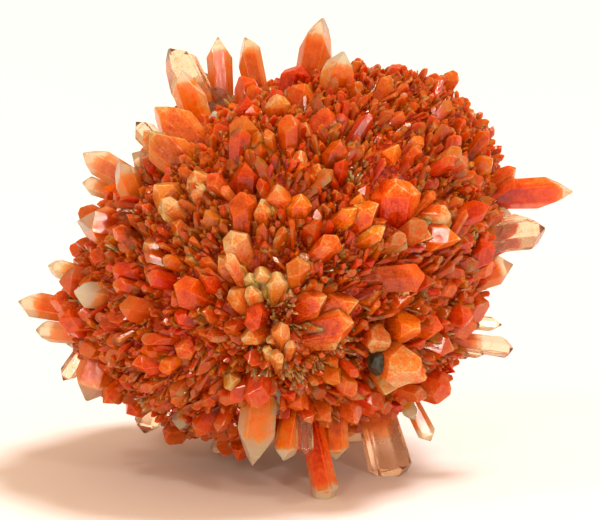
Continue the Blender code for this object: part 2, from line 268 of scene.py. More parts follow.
class Side(Enum):
    """Where on the ball the crystals that stand out are found."""

    TOP = "top"
    RIGHT = "right"
    LEFT = "left"
    BOTTOM = "bottom"
    FRONT = "front"
    FEET = "feet"


STANDING: dict[Side, tuple[Crystal, ...]] = {
    Side.TOP: (
        Crystal((-18.8, 34.6, 0.5), (-12.6, 23.2, -1.0), 7.4, 4.0, 20.0, (44.0, 62.0), habit=CLEAR),
        Crystal((-16.6, 30.9, 5.5), (-13.4, 20.5, 4.0), 5.6, 3.6, -12.0, (62.0, 52.0), habit=EMBER),
        Crystal((-10.9, 36.7, -2.0), (-10.3, 27.5, -2.5), 4.6, 3.2, 0.0, (60.0, 58.0)),
        Crystal((-6.6, 36.6, -2.0), (-4.4, 27.0, -2.5), 4.5, 3.4, 8.0, (46.0, 66.0)),
        Crystal((6.2, 39.7, -1.0), (3.6, 27.0, -2.0), 6.4, 4.2, -16.0, (66.0, 62.0)),
        Crystal((9.4, 33.8, 8.5), (7.0, 21.0, 8.0), 6.6, 4.6, 22.0, (64.0, 50.0), habit=EMBER),
    ),
    Side.RIGHT: (
        Crystal((46.7, 11.4, 1.0), (31.0, 10.8, 1.0), 5.6, 3.8, 10.0, (66.0, 60.0), habit=EMBER),
        Crystal((42.0, 5.4, 6.0), (28.0, 3.6, 5.0), 6.6, 4.4, -14.0, (40.0, 56.0), habit=CLEAR),
        Crystal((36.9, -0.4, 4.0), (28.6, -3.4, 3.0), 5.0, 3.4, 0.0, (52.0, 40.0)),
        Crystal((35.2, -10.2, 0.0), (28.0, -9.6, 0.0), 2.6, 1.9, 0.0, habit=CLEAR),
        Crystal((36.9, -14.0, 2.0), (28.0, -12.8, 2.0), 3.6, 2.6, 15.0, (34.0, 50.0), habit=CLEAR),
        Crystal((23.6, -29.0, 2.0), (20.0, -22.0, 2.0), 3.2, 2.2, 0.0, (44.0, 44.0), habit=TAN),
    ),
    Side.LEFT: (
        Crystal((-24.2, 22.7, 0.0), (-19.0, 17.0, 0.0), 4.0, 2.8, 10.0, (50.0, 46.0), habit=CLEAR),
        Crystal((-32.8, 17.7, 0.0), (-24.0, 12.6, 0.0), 5.0, 3.4, -10.0, (56.0, 52.0), habit=TAN),
        Crystal((-26.6, 16.0, 12.0), (-22.6, 7.4, 11.0), 4.6, 3.2, 15.0, (50.0, 60.0)),
        Crystal((-33.0, 12.9, -2.0), (-26.0, 10.6, -2.0), 3.2, 2.2, 0.0, (38.0, 54.0), habit=TAN),
        Crystal((-33.2, 6.6, 10.0), (-24.0, 4.4, 8.0), 7.2, 5.0, 12.0, (50.0, 54.0)),
        Crystal((-38.3, -0.6, 3.0), (-29.0, -3.2, 3.0), 3.4, 2.4, 20.0, (50.0, 50.0), habit=TAN),
        Crystal((-33.6, -4.8, 15.0), (-23.0, -6.4, 12.0), 5.8, 3.8, -28.0, (62.0, 50.0), habit=TAN),
        Crystal((-43.3, -6.4, 0.0), (-31.0, -8.6, 0.0), 4.6, 3.2, 10.0, (58.0, 46.0)),
        Crystal((-40.4, -11.0, 1.0), (-31.0, -12.0, 1.0), 3.8, 2.8, -15.0, (44.0, 54.0)),
        Crystal((-35.9, -19.2, 2.0), (-31.0, -12.0, 2.0), 3.0, 2.0, 0.0, (46.0, 46.0), habit=CLEAR),
        Crystal((-32.0, -22.4, 6.0), (-28.6, -13.0, 5.0), 7.0, 5.2, 10.0, (50.0, 46.0)),
    ),
    Side.BOTTOM: (
        Crystal((-22.7, -27.8, 1.0), (-21.0, -20.0, 1.0), 4.6, 3.2, 10.0, (42.0, 40.0),
                habit=CLEAR),
        Crystal((-16.8, -26.9, 11.0), (-15.0, -18.0, 9.0), 3.4, 2.6, 0.0, (40.0, 40.0)),
        Crystal((-5.1, -32.3, 20.5), (-3.6, -18.0, 18.0), 6.6, 3.0, -8.0, (62.0, 58.0)),
        Crystal((-0.2, -31.6, 16.0), (1.6, -22.0, 14.0), 4.4, 3.0, 18.0, (48.0, 48.0), habit=EMBER),
        Crystal((3.3, -30.8, 18.0), (3.0, -22.0, 15.0), 2.8, 2.0, 0.0, (48.0, 44.0), habit=CLEAR),
        Crystal((8.2, -31.8, 9.0), (8.0, -23.0, 8.0), 4.6, 3.2, 0.0, (36.0, 44.0), habit=EMBER),
    ),
    Side.FRONT: (
        Crystal((-1.3, 26.6, 17.0), (-0.6, 19.0, 13.0), 4.4, 3.4, 0.0, (40.0, 44.0)),
        Crystal((-20.9, 24.8, 12.0), (-10.6, 13.6, 12.0), 8.4, 3.4, 14.0, (48.0, 62.0)),
        Crystal((3.4, 22.0, 22.0), (2.4, 14.0, 16.0), 4.0, 3.0, 10.0),
        Crystal((17.8, 18.5, 22.5), (12.4, 11.0, 17.0), 5.6, 4.0, -10.0, (52.0, 58.0), habit=EMBER),
        Crystal((2.6, 17.4, 26.0), (1.6, 10.0, 19.0), 3.4, 2.6, 0.0, habit=EMBER),
        Crystal((5.4, 15.3, 27.0), (4.4, 8.0, 20.0), 3.6, 2.6, 15.0, habit=EMBER),
        Crystal((-20.6, 12.2, 21.0), (-14.4, 6.6, 18.0), 6.4, 4.2, 8.0, (44.0, 50.0), habit=TAN),
        Crystal((-14.2, 14.4, 23.0), (-11.6, 7.0, 19.5), 4.8, 3.4, 12.0, (40.0, 44.0), habit=TAN),
        Crystal((-1.2, 12.0, 29.0), (-1.0, 4.4, 24.5), 5.6, 3.8, -10.0, (46.0, 50.0)),
        Crystal((2.6, 10.6, 29.5), (1.2, 3.0, 25.0), 4.6, 3.2, 10.0, (40.0, 52.0), habit=EMBER),
        Crystal((17.5, 12.8, 26.5), (16.4, 3.4, 21.5), 8.8, 5.4, 6.0, (24.0, 40.0), 42.0,
                habit=EMBER),
        Crystal((25.8, 7.3, 22.0), (20.0, 4.0, 16.0), 5.2, 4.0, 0.0, (44.0, 44.0), habit=TAN),
        Crystal((-8.3, 4.9, 31.0), (-4.6, -3.2, 26.0), 5.2, 3.6, 20.0, (40.0, 40.0), habit=TAN),
        Crystal((14.7, 9.0, 29.5), (7.4, 3.0, 24.0), 5.2, 3.4, 10.0, (60.0, 52.0), habit=EMBER),
        Crystal((27.9, 3.6, 23.0), (15.6, 5.2, 20.5), 5.6, 3.8, -6.0, (60.0, 56.0), habit=EMBER),
        Crystal((-22.0, 3.0, 22.0), (-16.0, 0.6, 16.0), 4.4, 3.6, 0.0, (50.0, 44.0), habit=TAN),
        Crystal((-18.6, -0.6, 24.5), (-13.0, -2.0, 18.0), 4.6, 3.4, 20.0, habit=TAN),
        Crystal((-14.0, -0.9, 28.0), (-7.6, -5.0, 22.0), 3.8, 3.0, 0.0, (54.0, 58.0), habit=TAN),
        Crystal((-3.8, -0.8, 32.0), (-2.6, -7.0, 26.5), 4.0, 2.4, 0.0, (52.0, 52.0), habit=TAN),
        Crystal((-1.2, -1.6, 32.4), (-1.4, -8.0, 26.5), 4.2, 2.2, 10.0, (50.0, 54.0), habit=TAN),
        Crystal((-8.4, -4.4, 31.0), (-3.6, -8.4, 26.0), 4.4, 3.0, 20.0, (44.0, 48.0)),
        Crystal((6.6, -5.4, 31.0), (0.6, -8.4, 26.5), 5.2, 2.4, 10.0, (56.0, 52.0)),
        Crystal((-0.4, -10.0, 32.5), (-1.0, -13.4, 26.0), 3.8, 2.4, -20.0, habit=TAN),
        Crystal((-6.6, -12.0, 30.5), (-2.6, -10.6, 26.0), 3.8, 2.6, 10.0),
        Crystal((11.6, -6.2, 29.0), (4.0, -8.4, 25.5), 7.0, 3.6, 10.0, (52.0, 56.0)),
        Crystal((21.0, -10.5, 24.5), (15.0, -10.0, 17.0), 6.4, 4.0, 10.0, habit=EMBER),
        Crystal((-22.3, -12.7, 21.0), (-15.0, -11.2, 17.0), 3.8, 2.8, 10.0, (60.0, 50.0)),
        Crystal((-16.8, -13.6, 25.0), (-12.0, -12.0, 18.0), 5.0, 3.8, 0.0, (50.0, 40.0)),
        Crystal((19.4, -17.4, 24.6), (14.0, -13.6, 16.0), 7.4, 6.2, 30.0, (30.0, 36.0), 30.0),
        Crystal((-8.6, -19.6, 25.0), (-7.0, -16.0, 16.0), 3.6, 2.6, 0.0),
    ),
    Side.FEET: (
        Crystal((6.9, -38.4, 14.4), (4.0, -25.0, 10.0), 4.6, 3.6, 10.0, (30.0, 44.0), habit=EMBER),
        Crystal((17.8, -35.8, -0.4), (14.6, -24.0, -1.0), 7.6, 5.2, 12.0, (40.0, 34.0),
                habit=CLEAR),
        Crystal((-10.6, -32.6, -15.4), (-7.0, -20.0, -10.0), 4.6, 3.8, 0.0, (36.0, 36.0)),
        Crystal((12.0, -30.6, -23.0), (8.0, -17.0, -14.0), 4.8, 4.0, 0.0, (36.0, 36.0)),
    ),
}


def all_standing() -> list[Crystal]:
    """Lists every crystal that stands out, the feet last."""
    return [crystal for side in Side for crystal in STANDING[side]]


def spiral_directions(count: int, rng: random.Random, jitter: float) -> Iterator[Vector]:
    """Spreads unit directions evenly over a ball.

    Args:
        count: How many directions.
        rng: The random source that moves each a little.
        jitter: How far each is moved.

    Yields:
        Each direction in turn.
    """
    for index in range(count):
        height = 1.0 - 2.0 * (index + 0.5) / count
        ring = math.sqrt(1.0 - height * height)
        turn = index * GOLDEN_ANGLE
        spot = Vector((ring * math.cos(turn), ring * math.sin(turn), height))
        spot += Vector([rng.uniform(-jitter, jitter) for _ in range(3)])
        yield spot.normalized()


def stray(rng: random.Random, amount: float) -> Vector:
    """Gives a small random offset with each part within an amount."""
    return Vector([rng.uniform(-amount, amount) for _ in range(3)])


def linear(hex_colour: str) -> tuple[float, float, float, float]:
    """Turns an sRGB hex colour into linear red, green, blue and alpha.

    Args:
        hex_colour: Six hex digits after a hash sign.

    Returns:
        The linear colour with alpha 1.
    """
    parts = [int(hex_colour[i:i + 2], 16) / 255.0 for i in (1, 3, 5)]
    low, knee, power = 12.92, 0.04045, 2.4
    values = [p / low if p <= knee else ((p + 0.055) / 1.055) ** power for p in parts]
    return values[0], values[1], values[2], 1.0


def grey(value: float) -> tuple[float, float, float, float]:
    """Gives a plain number as a ramp's colour."""
    return value, value, value, 1.0


def add_node(material: bpy.types.Material, kind: str, settings: dict | None = None,
             links: dict | None = None) -> bpy.types.Node:
    """Adds one shader node with its settings and links.

    Args:
        material: The material to add it to.
        kind: The node's type name.
        settings: Properties by name, or input defaults by socket name or number.
        links: Sockets that feed its inputs, by input name or number.

    Returns:
        The new node.
    """
    tree = material.node_tree
    node = tree.nodes.new(kind)
    for key, value in (settings or {}).items():
        if isinstance(key, int) or key in node.inputs:
            node.inputs[key].default_value = value
        elif key == "stops":
            fill_stops(node.color_ramp, value)
        else:
            setattr(node, key, value)
    for key, socket in (links or {}).items():
        tree.links.new(socket, node.inputs[key])
    return node


def fill_stops(ramp: bpy.types.ColorRamp, stops: Sequence[tuple[float, tuple]]) -> None:
    """Sets a colour ramp's stops.

    Args:
        ramp: The ramp, with its two first elements.
        stops: Each stop's position and linear colour.
    """
    while len(ramp.elements) < len(stops):
        ramp.elements.new(1.0)
    for element, (position, colour) in zip(ramp.elements, stops):
        element.position = position
        element.color = colour


def fresh_material(name: str) -> tuple[bpy.types.Material, bpy.types.Node]:
    """Makes a material with an empty tree but for its shader and output.

    Args:
        name: The material's name.

    Returns:
        The material and its Principled shader.
    """
    material = bpy.data.materials.new(name)
    material.use_nodes = True
    return material, material.node_tree.nodes["Principled BSDF"]


def link_mesh(name: str, mesh: bpy.types.Mesh) -> bpy.types.Object:
    """Puts a mesh into the scene.

    Args:
        name: The object's name.
        mesh: Its mesh, in metres.

    Returns:
        The new object at the origin.
    """
    built = bpy.data.objects.new(name, mesh)
    bpy.context.scene.collection.objects.link(built)
    return built


def link_shape(name: str, shape: bmesh.types.BMesh) -> bpy.types.Object:
    """Turns a bmesh into an object and frees the bmesh.

    Args:
        name: The object's name.
        shape: Its shape, in metres.

    Returns:
        The new object at the origin.
    """
    mesh = bpy.data.meshes.new(name)
    shape.to_mesh(mesh)
    shape.free()
    return link_mesh(name, mesh)


@dataclass
class Shape:
    """One closed crystal as arrays: its points in millimetres, and its faces.

    Its points are in its own axes, with the root at 0 and the length along Z.
    """

    points: np.ndarray
    corners: np.ndarray
    sizes: np.ndarray
    edges: np.ndarray               # 1 for a face that rounds an edge off, or 0
    length: float
    half: tuple[float, float]       # half its thickness and half its width

    @classmethod
    def of(cls, shape: bmesh.types.BMesh, length: float, crystal: Crystal) -> "Shape":
        """Reads a bmesh into arrays and frees it.

        Args:
            shape: The closed bmesh.
            length: The crystal's length.
            crystal: What it was cut as.

        Returns:
            The arrays.
        """
        bmesh.ops.recalc_face_normals(shape, faces=shape.faces[:])
        shape.verts.index_update()
        points = np.array([vert.co[:] for vert in shape.verts])
        corners = np.array([vert.index for face in shape.faces for vert in face.verts])
        sizes = np.array([len(face.verts) for face in shape.faces])
        edges = np.array([float(face.material_index) for face in shape.faces])
        shape.free()
        half = (crystal.thickness / 2.0, crystal.width / 2.0)
        return cls(points, corners, sizes, edges, length, half)


@dataclass(frozen=True)
class Look:
    """What one crystal's finish is set by."""

    tint: float                     # one random number from 0 to 1
    pale: float                     # the share of pale tan
    clear: float                    # how far its clear end reaches down from its tip, in mm
    glass: float                    # how glassy it is, from 0 to 1


@dataclass
class Gathering:
    """Many closed shapes that are joined into one mesh, with what the finish reads of each point.

    Form holds how far a point is out on the crystal's thin and broad sides, from -1 to 1, and its
    zone, which is 1 at the tip and 0 where the clear end stops. Place is the point in the
    crystal's own axes, mark holds its tint, pale share and glass, depth is how far the point lies
    under the tips of the ball, and edge marks the faces that round the edges off.
    """

    ball: Ball
    points: list[np.ndarray] = field(default_factory=list)
    corners: list[np.ndarray] = field(default_factory=list)
    sizes: list[np.ndarray] = field(default_factory=list)
    edges: list[np.ndarray] = field(default_factory=list)
    forms: list[np.ndarray] = field(default_factory=list)
    places: list[np.ndarray] = field(default_factory=list)
    marks: list[np.ndarray] = field(default_factory=list)
    count: int = 0

    def add(self, shape: Shape, matrix: Matrix, look: Look, size: float = 1.0) -> None:
        """Places one shape.

        Args:
            shape: The crystal's arrays.
            matrix: Where it goes, in millimetres in the frame's axes.
            look: What its finish is set by.
            size: What the matrix scales it by.
        """
        turn = np.array(matrix)
        own = shape.points
        self.points.append(own @ turn[:3, :3].T + turn[:3, 3])
        self.corners.append(shape.corners + self.count)
        self.sizes.append(shape.sizes)
        self.edges.append(shape.edges)
        zone = 1.0 - (shape.length - own[:, 2]) * size / look.clear
        self.forms.append(np.stack((own[:, 0] / shape.half[0], own[:, 1] / shape.half[1], zone), 1))
        self.places.append(own * size + np.array((0.0, 0.0, PLACE_SPREAD * look.tint)))
        self.marks.append(np.tile((look.tint, look.pale, look.glass), (len(own), 1)))
        self.count += len(own)

    def build(self, name: str) -> bpy.types.Object:
        """Makes the object, in metres.

        Args:
            name: The piece's name.

        Returns:
            The new object at the origin.
        """
        points, corners = np.concatenate(self.points), np.concatenate(self.corners)
        sizes = np.concatenate(self.sizes)
        mesh = bpy.data.meshes.new(name)
        mesh.vertices.add(self.count)
        mesh.vertices.foreach_set("co", (points * MM).ravel())
        mesh.loops.add(len(corners))
        mesh.loops.foreach_set("vertex_index", corners.astype(np.int32))
        mesh.polygons.add(len(sizes))
        starts = np.concatenate(([0], np.cumsum(sizes)[:-1]))
        mesh.polygons.foreach_set("loop_start", starts.astype(np.int32))
        mesh.update(calc_edges=True)
        mesh.shade_flat()
        for word, kind, domain, values in (
            ("form", "FLOAT_VECTOR", "POINT", np.concatenate(self.forms)),
            ("place", "FLOAT_VECTOR", "POINT", np.concatenate(self.places)),
            ("mark", "FLOAT_VECTOR", "POINT", np.concatenate(self.marks)),
            ("depth", "FLOAT", "POINT", self.ball.depths(points)),
            ("edge", "FLOAT", "FACE", np.concatenate(self.edges)),
        ):
            layer = mesh.attributes.new(word, kind, domain)
            key = "vector" if kind == "FLOAT_VECTOR" else "value"
            layer.data.foreach_set(key, values.astype(np.float32).ravel())
        return link_mesh(name, mesh)


@dataclass
class CrystalCutter:
    """Cuts crystals out of prisms: flattened, widening from the root, with sloping end faces."""

    ball: Ball
    root_taper: float = 0.78
    ridge_share: float = 0.16

    @staticmethod
    def slice_off(shape: bmesh.types.BMesh, point: Sequence[float],
                  normal: Sequence[float]) -> None:
        """Cuts a convex shape along a plane, drops the side ahead of it and closes it.

        Args:
            shape: The shape to cut.
            point: A point on the plane.
            normal: Points to the side that is dropped.
        """
        everything = shape.verts[:] + shape.edges[:] + shape.faces[:]
        cut = bmesh.ops.bisect_plane(
            shape,
            geom=everything,
            dist=CUT_TOLERANCE,
            plane_co=point,
            plane_no=normal,
            clear_outer=True,
        )
        rim = [edge for edge in cut["geom_cut"] if isinstance(edge, bmesh.types.BMEdge)]
        if len(rim) > 2:
            bmesh.ops.edgeloop_fill(shape, edges=rim)

    def prism(self, length: float, width: float, thickness: float, sides: int) -> bmesh.types.BMesh:
        """Makes the prism that a crystal is cut from.

        Args:
            length: From the root to the top.
            width: Its width at the top.
            thickness: Its thickness there.
            sides: How many sides it has.

        Returns:
            The prism, with its root at 0 and its length along Z.
        """
        shape = bmesh.new()
        bmesh.ops.create_cone(
            shape,
            cap_ends=True,
            segments=sides,
            radius1=0.5 * self.root_taper,
            radius2=0.5,
            depth=length,
        )
        bmesh.ops.translate(shape, verts=shape.verts[:], vec=(0.0, 0.0, length / 2.0))
        flat = thickness / math.cos(math.pi / 6.0) if sides == 6 else thickness
        bmesh.ops.scale(shape, verts=shape.verts[:], vec=(flat, width, 1.0))
        return shape

    def cut(self, length: float, crystal: Crystal, sides: int,
            rounding: float) -> bmesh.types.BMesh:
        """Cuts one crystal's end and rounds its edges.

        Args:
            length: From the sunk root to the tip.
            crystal: Its size and end faces.
            sides: 6 for a standing crystal, 4 for another.
            rounding: Millimetres taken off each edge, or 0 for none.

        Returns:
            The crystal in its own axes.
        """
        shape = self.prism(length, crystal.width, crystal.thickness, sides)
        tilts = [(0.0, 1.0, crystal.slants[0]), (0.0, -1.0, crystal.slants[1])]
        if sides == 6:
            tilts += [(1.0, 0.0, crystal.pinch), (-1.0, 0.0, crystal.pinch)]
        for thick_side, width_side, slant in tilts:
            lean = math.sin(math.radians(slant))
            normal = (thick_side * lean, width_side * lean, math.cos(math.radians(slant)))
            lift = self.ridge_share * crystal.thickness if thick_side else 0.0
            self.slice_off(shape, (0.0, 0.0, length + lift), normal)
        if rounding:
            rounded = bmesh.ops.bevel(
                shape,
                geom=shape.edges[:],
                offset=rounding,
                offset_type="OFFSET",
                affect="EDGES",
                segments=1,
                profile=0.5,
                material=-1,
                clamp_overlap=True,
            )
            for face in rounded["faces"]:
                face.material_index = 1
        return shape

    def seat(self, crystal: Crystal, sunk: float) -> tuple[Matrix, float]:
        """Finds where a crystal goes.

        Args:
            crystal: The crystal, seen from the front.
            sunk: How far its root is sunk below the place given, in millimetres.

        Returns:
            The matrix that places it, in millimetres, and its length.
        """
        tip, root = self.ball.put(crystal.tip), self.ball.put(crystal.root)
        axis = (tip - root).normalized()
        root = root - axis * sunk
        viewer = self.ball.turn((0.0, 0.0, 1.0))
        width_way = axis.cross(viewer)
        if width_way.length < END_ON:
            width_way = axis.cross(Vector((0.0, 0.0, 1.0)))
        width_way.normalize()
        turned = Matrix((width_way.cross(axis), width_way, axis)).transposed().to_4x4()
        roll = Matrix.Rotation(math.radians(crystal.roll), 4, "Z")
        return Matrix.Translation(root) @ turned @ roll, (tip - root).length

    def flatten(self, shape: bmesh.types.BMesh, matrix: Matrix) -> None:
        """Breaks a foot's end off flat in the plane of the floor.

        Args:
            shape: The foot in its own axes.
            matrix: Where it goes, in millimetres in the frame's axes.
        """
        back = matrix.inverted()
        down = back.to_3x3() @ Vector((0.0, 0.0, -1.0))
        self.slice_off(shape, back @ Vector((0.0, 0.0, 0.0)), down.normalized())


@dataclass
class Clearing:
    """The room that the standing crystals take up, which other crystals keep out of."""

    crystals: Sequence[Crystal]

    def __post_init__(self) -> None:
        """Sets up the crystals' lines and widths as arrays."""
        self.feet = np.array([crystal.root for crystal in self.crystals])
        self.ways = np.array([crystal.tip for crystal in self.crystals]) - self.feet
        self.tips = self.feet + self.ways
        self.squares = (self.ways ** 2).sum(axis=1)
        self.widths = np.array([crystal.width for crystal in self.crystals])

    def covers(self, tip: Vector, width: float, share: float) -> bool:
        """Tells whether a tip lies in or close to a standing crystal.

        Args:
            tip: The tip, seen from the front.
            width: The width of the crystal that it ends.
            share: The part of both half widths that has to stay free.

        Returns:
            Whether it does.
        """
        from_feet = np.array(tip) - self.feet
        along = np.clip((from_feet * self.ways).sum(axis=1) / self.squares, 0.0, 1.0)
        gaps = np.linalg.norm(from_feet - self.ways * along[:, None], axis=1)
        return bool((gaps < share * (self.widths + width) / 2.0).any())

    def pierces(self, tip: Vector, root: Vector, width: float) -> bool:
        """Tells whether a standing crystal's tip lies in a crystal.

        Args:
            tip: The crystal's tip, seen from the front.
            root: Its root.
            width: Its width.

        Returns:
            Whether one does.
        """
        foot = np.array(root)
        way = np.array(tip) - foot
        along = np.clip((self.tips - foot) @ way / (way @ way), 0.0, 1.0)
        gaps = np.linalg.norm(foot + along[:, None] * way - self.tips, axis=1)
        return bool((gaps < width / 2.0).any())


@dataclass(frozen=True)
class Palette:
    """Where on the ball the crystals are pale tan, from its front view."""

    patches: tuple[tuple[Place, float, float], ...] = (     # place, radius, strength
        ((-14.6, 9.2, 25.0), 7.0, 0.75),
        ((-8.1, 4.7, 30.0), 6.0, 0.75),
        ((0.5, -7.0, 32.0), 8.5, 0.6),
        ((25.9, 7.1, 23.0), 6.0, 0.7),
        ((22.0, 19.0, 19.0), 9.0, 0.35),
        ((-30.0, 6.0, 12.0), 8.0, 0.5),
        ((19.4, -17.4, 24.6), 5.0, 0.5),
    )
    everywhere: float = -0.04       # the share with no patch near
    drift: float = 0.28             # how far it drifts from place to place
    drift_size: float = 9.0         # millimetres
    spread: float = 0.16            # how far two neighbours may be apart from it

    def pale(self, place: Vector, rng: random.Random) -> float:
        """Tells how pale a crystal is.

        Args:
            place: Its tip, seen from the front.
            rng: The random source that sets it apart from its neighbours.

        Returns:
            Its share of pale tan, from 0 to 1.
        """
        share = self.everywhere + self.drift * noise.noise(place / self.drift_size)
        for spot, radius, strength in self.patches:
            gap = (place - Vector(spot)).length / radius
            share += strength * math.exp(-gap * gap)
        return min(1.0, max(0.0, share + rng.uniform(-self.spread, self.spread)))


@dataclass(frozen=True)
class CreediteFinish:
    """Creedite, grown in open space: glassy faces, orange and cloudy inside, clear at the tips.

    Each crystal goes from a dark red-brown root through orange to a clear, cream tip; the
    darkening towards the root is partly its own colour and partly painted shade. Its narrow
    sides are paler, partly as the crystal's paler rim and partly as a painted highlight, the faces
    that round its edges off carry a painted highlight, and points that lie deep under the tips of
    the ball are darkened as painted shade in the recesses. Its level, from 0 to 1, says where on
    that way a point is. The faces carry striations along their length, drawn about 0.3 mm apart,
    coarser than the real ones, which are too fine to show, and patches of pits and frost.
    """

    name: str
    warm: tuple[str, ...] = ("#8C1C03", "#C43204", "#F0640E", "#F89A42", "#FFEED2")
    tan: tuple[str, ...] = ("#7E2E0A", "#A65414", "#DA8E40", "#E8B474", "#FFECD0")
    stops: tuple[float, ...] = (0.0, 0.22, 0.50, 0.72, 0.92)
    clearness: tuple[float, ...] = (0.0, 0.1, 0.3, 0.65, 0.95)
    smooth: float = 0.05            # roughness of the clean faces
    frosted: float = 0.18
    frost_size: float = 0.8         # of the frosted patches, over that of the clouds
    shine: float = 0.5              # the shader's share of mirroring, 0.5 for all of it
    ior: float = 1.475
    absorbed: str = "#FFA052"
    absorb_density: float = 70.0
    milk: float = 0.8               # share of light that scatters inside, as cloudy crystal does
    milk_mm: float = 2.8            # how far it scatters
    milk_radius: Place = (1.0, 0.32, 0.12)          # of red, green and blue, over that
    body_level: float = 0.49
    tip_gain: float = 0.5
    tip_full: float = 0.36          # the zone from which a glassy crystal is at its clearest
    # darker towards the root: partly the crystal's own colour, partly painted shade
    root_tone_and_shade: float = 0.22
    root_zone: float = -2.5         # the zone at which that is reached
    # painted shade: points that lie deep under the tips of the ball, in the recesses, are darkened
    painted_recess_shade: float = 0.36
    painted_recess_shade_mm: tuple[float, float] = (1.5, 7.0)
    # paler towards the narrow sides: partly the crystal's paler rim, partly a painted highlight
    rim_tone_and_highlight: float = 0.22
    rim_out: tuple[float, float] = (0.5, 0.64)      # how far out on the width the rim starts
    # painted highlight on the faces that round the edges off
    painted_edge_highlight: float = 0.16
    cloud_gain: float = 0.12
    cloud_mm: float = 1.5
    mottle_gain: float = 0.10
    mottle_mm: float = 0.38
    patchy: tuple[float, float] = (0.3, 0.7)        # the noise that gives the least and the most
    frost: tuple[float, float] = (0.50, 0.62)       # the noise from clean to frosted
    tint_gain: float = 0.13
    hue_shifts: tuple[float, float] = (-0.004, 0.014)
    striation_mm: float = 0.3
    striation_stretch: float = 0.06
    striation_strength: float = 0.55
    pit_mm: float = 0.35
    pit_strength: tuple[float, float] = (0.25, 1.0) # on clean and on frosted faces
    bump_mm: float = 0.03

    def noise(self, material: bpy.types.Material, place: bpy.types.NodeSocket,
              size_mm: float) -> bpy.types.NodeSocket:
        """Adds a cloudy pattern of one size on the crystal's own axes.

        Args:
            material: The material to add it to.
            place: The point in the crystal's own axes, in millimetres.
            size_mm: The pattern's size.

        Returns:
            Its value.
        """
        pattern = add_node(
            material, "ShaderNodeTexNoise",
            {"Scale": 1.0 / size_mm, "Detail": 3.0, "Roughness": 0.6}, {"Vector": place},
        )
        return pattern.outputs["Fac"]

    def level(self, material: bpy.types.Material,
              terms: Sequence[tuple]) -> bpy.types.NodeSocket:
        """Adds up what makes a point of the crystal paler or deeper in colour.

        Args:
            material: The material to add it to.
            terms: Each value's socket, its lowest and highest value, and what those two add.

        Returns:
            The level.
        """
        total = None
        for socket, lowest, highest, low_gain, high_gain in terms:
            gain = add_node(
                material, "ShaderNodeMapRange",
                {"From Min": lowest, "From Max": highest, "To Min": low_gain,
                 "To Max": high_gain},
                {"Value": socket},
            )
            total = add_node(
                material, "ShaderNodeMath", {"operation": "ADD", 1: self.body_level},
                {0: gain.outputs["Result"]} | ({1: total.outputs[0]} if total else {}),
            )
        return total.outputs[0]

    def body(self, material: bpy.types.Material, level: bpy.types.NodeSocket,
             tint: bpy.types.NodeSocket, pale: bpy.types.NodeSocket) -> bpy.types.NodeSocket:
        """Turns the level into a colour, with each crystal's own hue.

        Args:
            material: The material to add it to.
            level: Where between root and tip the colour is.
            tint: The crystal's random number.
            pale: Its share of pale tan.

        Returns:
            The colour.
        """
        warm, tan = (
            add_node(
                material, "ShaderNodeValToRGB",
                {"stops": list(zip(self.stops, [linear(colour) for colour in colours]))},
                {"Fac": level},
            )
            for colours in (self.warm, self.tan)
        )
        mixed = add_node(
            material, "ShaderNodeMix", {"data_type": "RGBA"},
            {0: pale, 6: warm.outputs["Color"], 7: tan.outputs["Color"]},
        )
        again = add_node(
            material, "ShaderNodeMath", {"operation": "MULTIPLY", 1: SECOND_CHANCE}, {0: tint}
        )
        apart = add_node(
            material, "ShaderNodeMath", {"operation": "FRACT"}, {0: again.outputs[0]}
        )
        hue = add_node(
            material, "ShaderNodeMapRange",
            {"To Min": 0.5 + self.hue_shifts[0], "To Max": 0.5 + self.hue_shifts[1]},
            {"Value": apart.outputs[0]},
        )
        turned = add_node(
            material, "ShaderNodeHueSaturation",
            links={"Hue": hue.outputs["Result"], "Color": mixed.outputs[2]},
        )
        return turned.outputs["Color"]

    def relief(self, material: bpy.types.Material, place: bpy.types.NodeSocket,
               frost: bpy.types.NodeSocket) -> bpy.types.NodeSocket:
        """Adds the striations along the length, and the pits where the face is frosted.

        Args:
            material: The material to add it to.
            place: The point in the crystal's own axes, in millimetres.
            frost: How frosted the face is, from 0 to 1.

        Returns:
            The normal.
        """
        stretched = add_node(
            material, "ShaderNodeMapping", {"Scale": (1.0, 1.0, self.striation_stretch)},
            {"Vector": place},
        )
        striae = add_node(
            material, "ShaderNodeTexNoise",
            {"Scale": 1.0 / self.striation_mm, "Detail": 2.0, "Roughness": 0.55},
            {"Vector": stretched.outputs["Vector"]},
        )
        ribbed = add_node(
            material, "ShaderNodeBump",
            {"Strength": self.striation_strength, "Distance": self.bump_mm * MM},
            {"Height": striae.outputs["Fac"]},
        )
        pits = self.noise(material, place, self.pit_mm)
        depth = add_node(
            material, "ShaderNodeMapRange",
            {"To Min": self.pit_strength[0], "To Max": self.pit_strength[1]}, {"Value": frost},
        )
        pitted = add_node(
            material, "ShaderNodeBump", {"Distance": self.bump_mm * MM},
            {"Height": pits, "Strength": depth.outputs["Result"],
             "Normal": ribbed.outputs["Normal"]},
        )
        return pitted.outputs["Normal"]

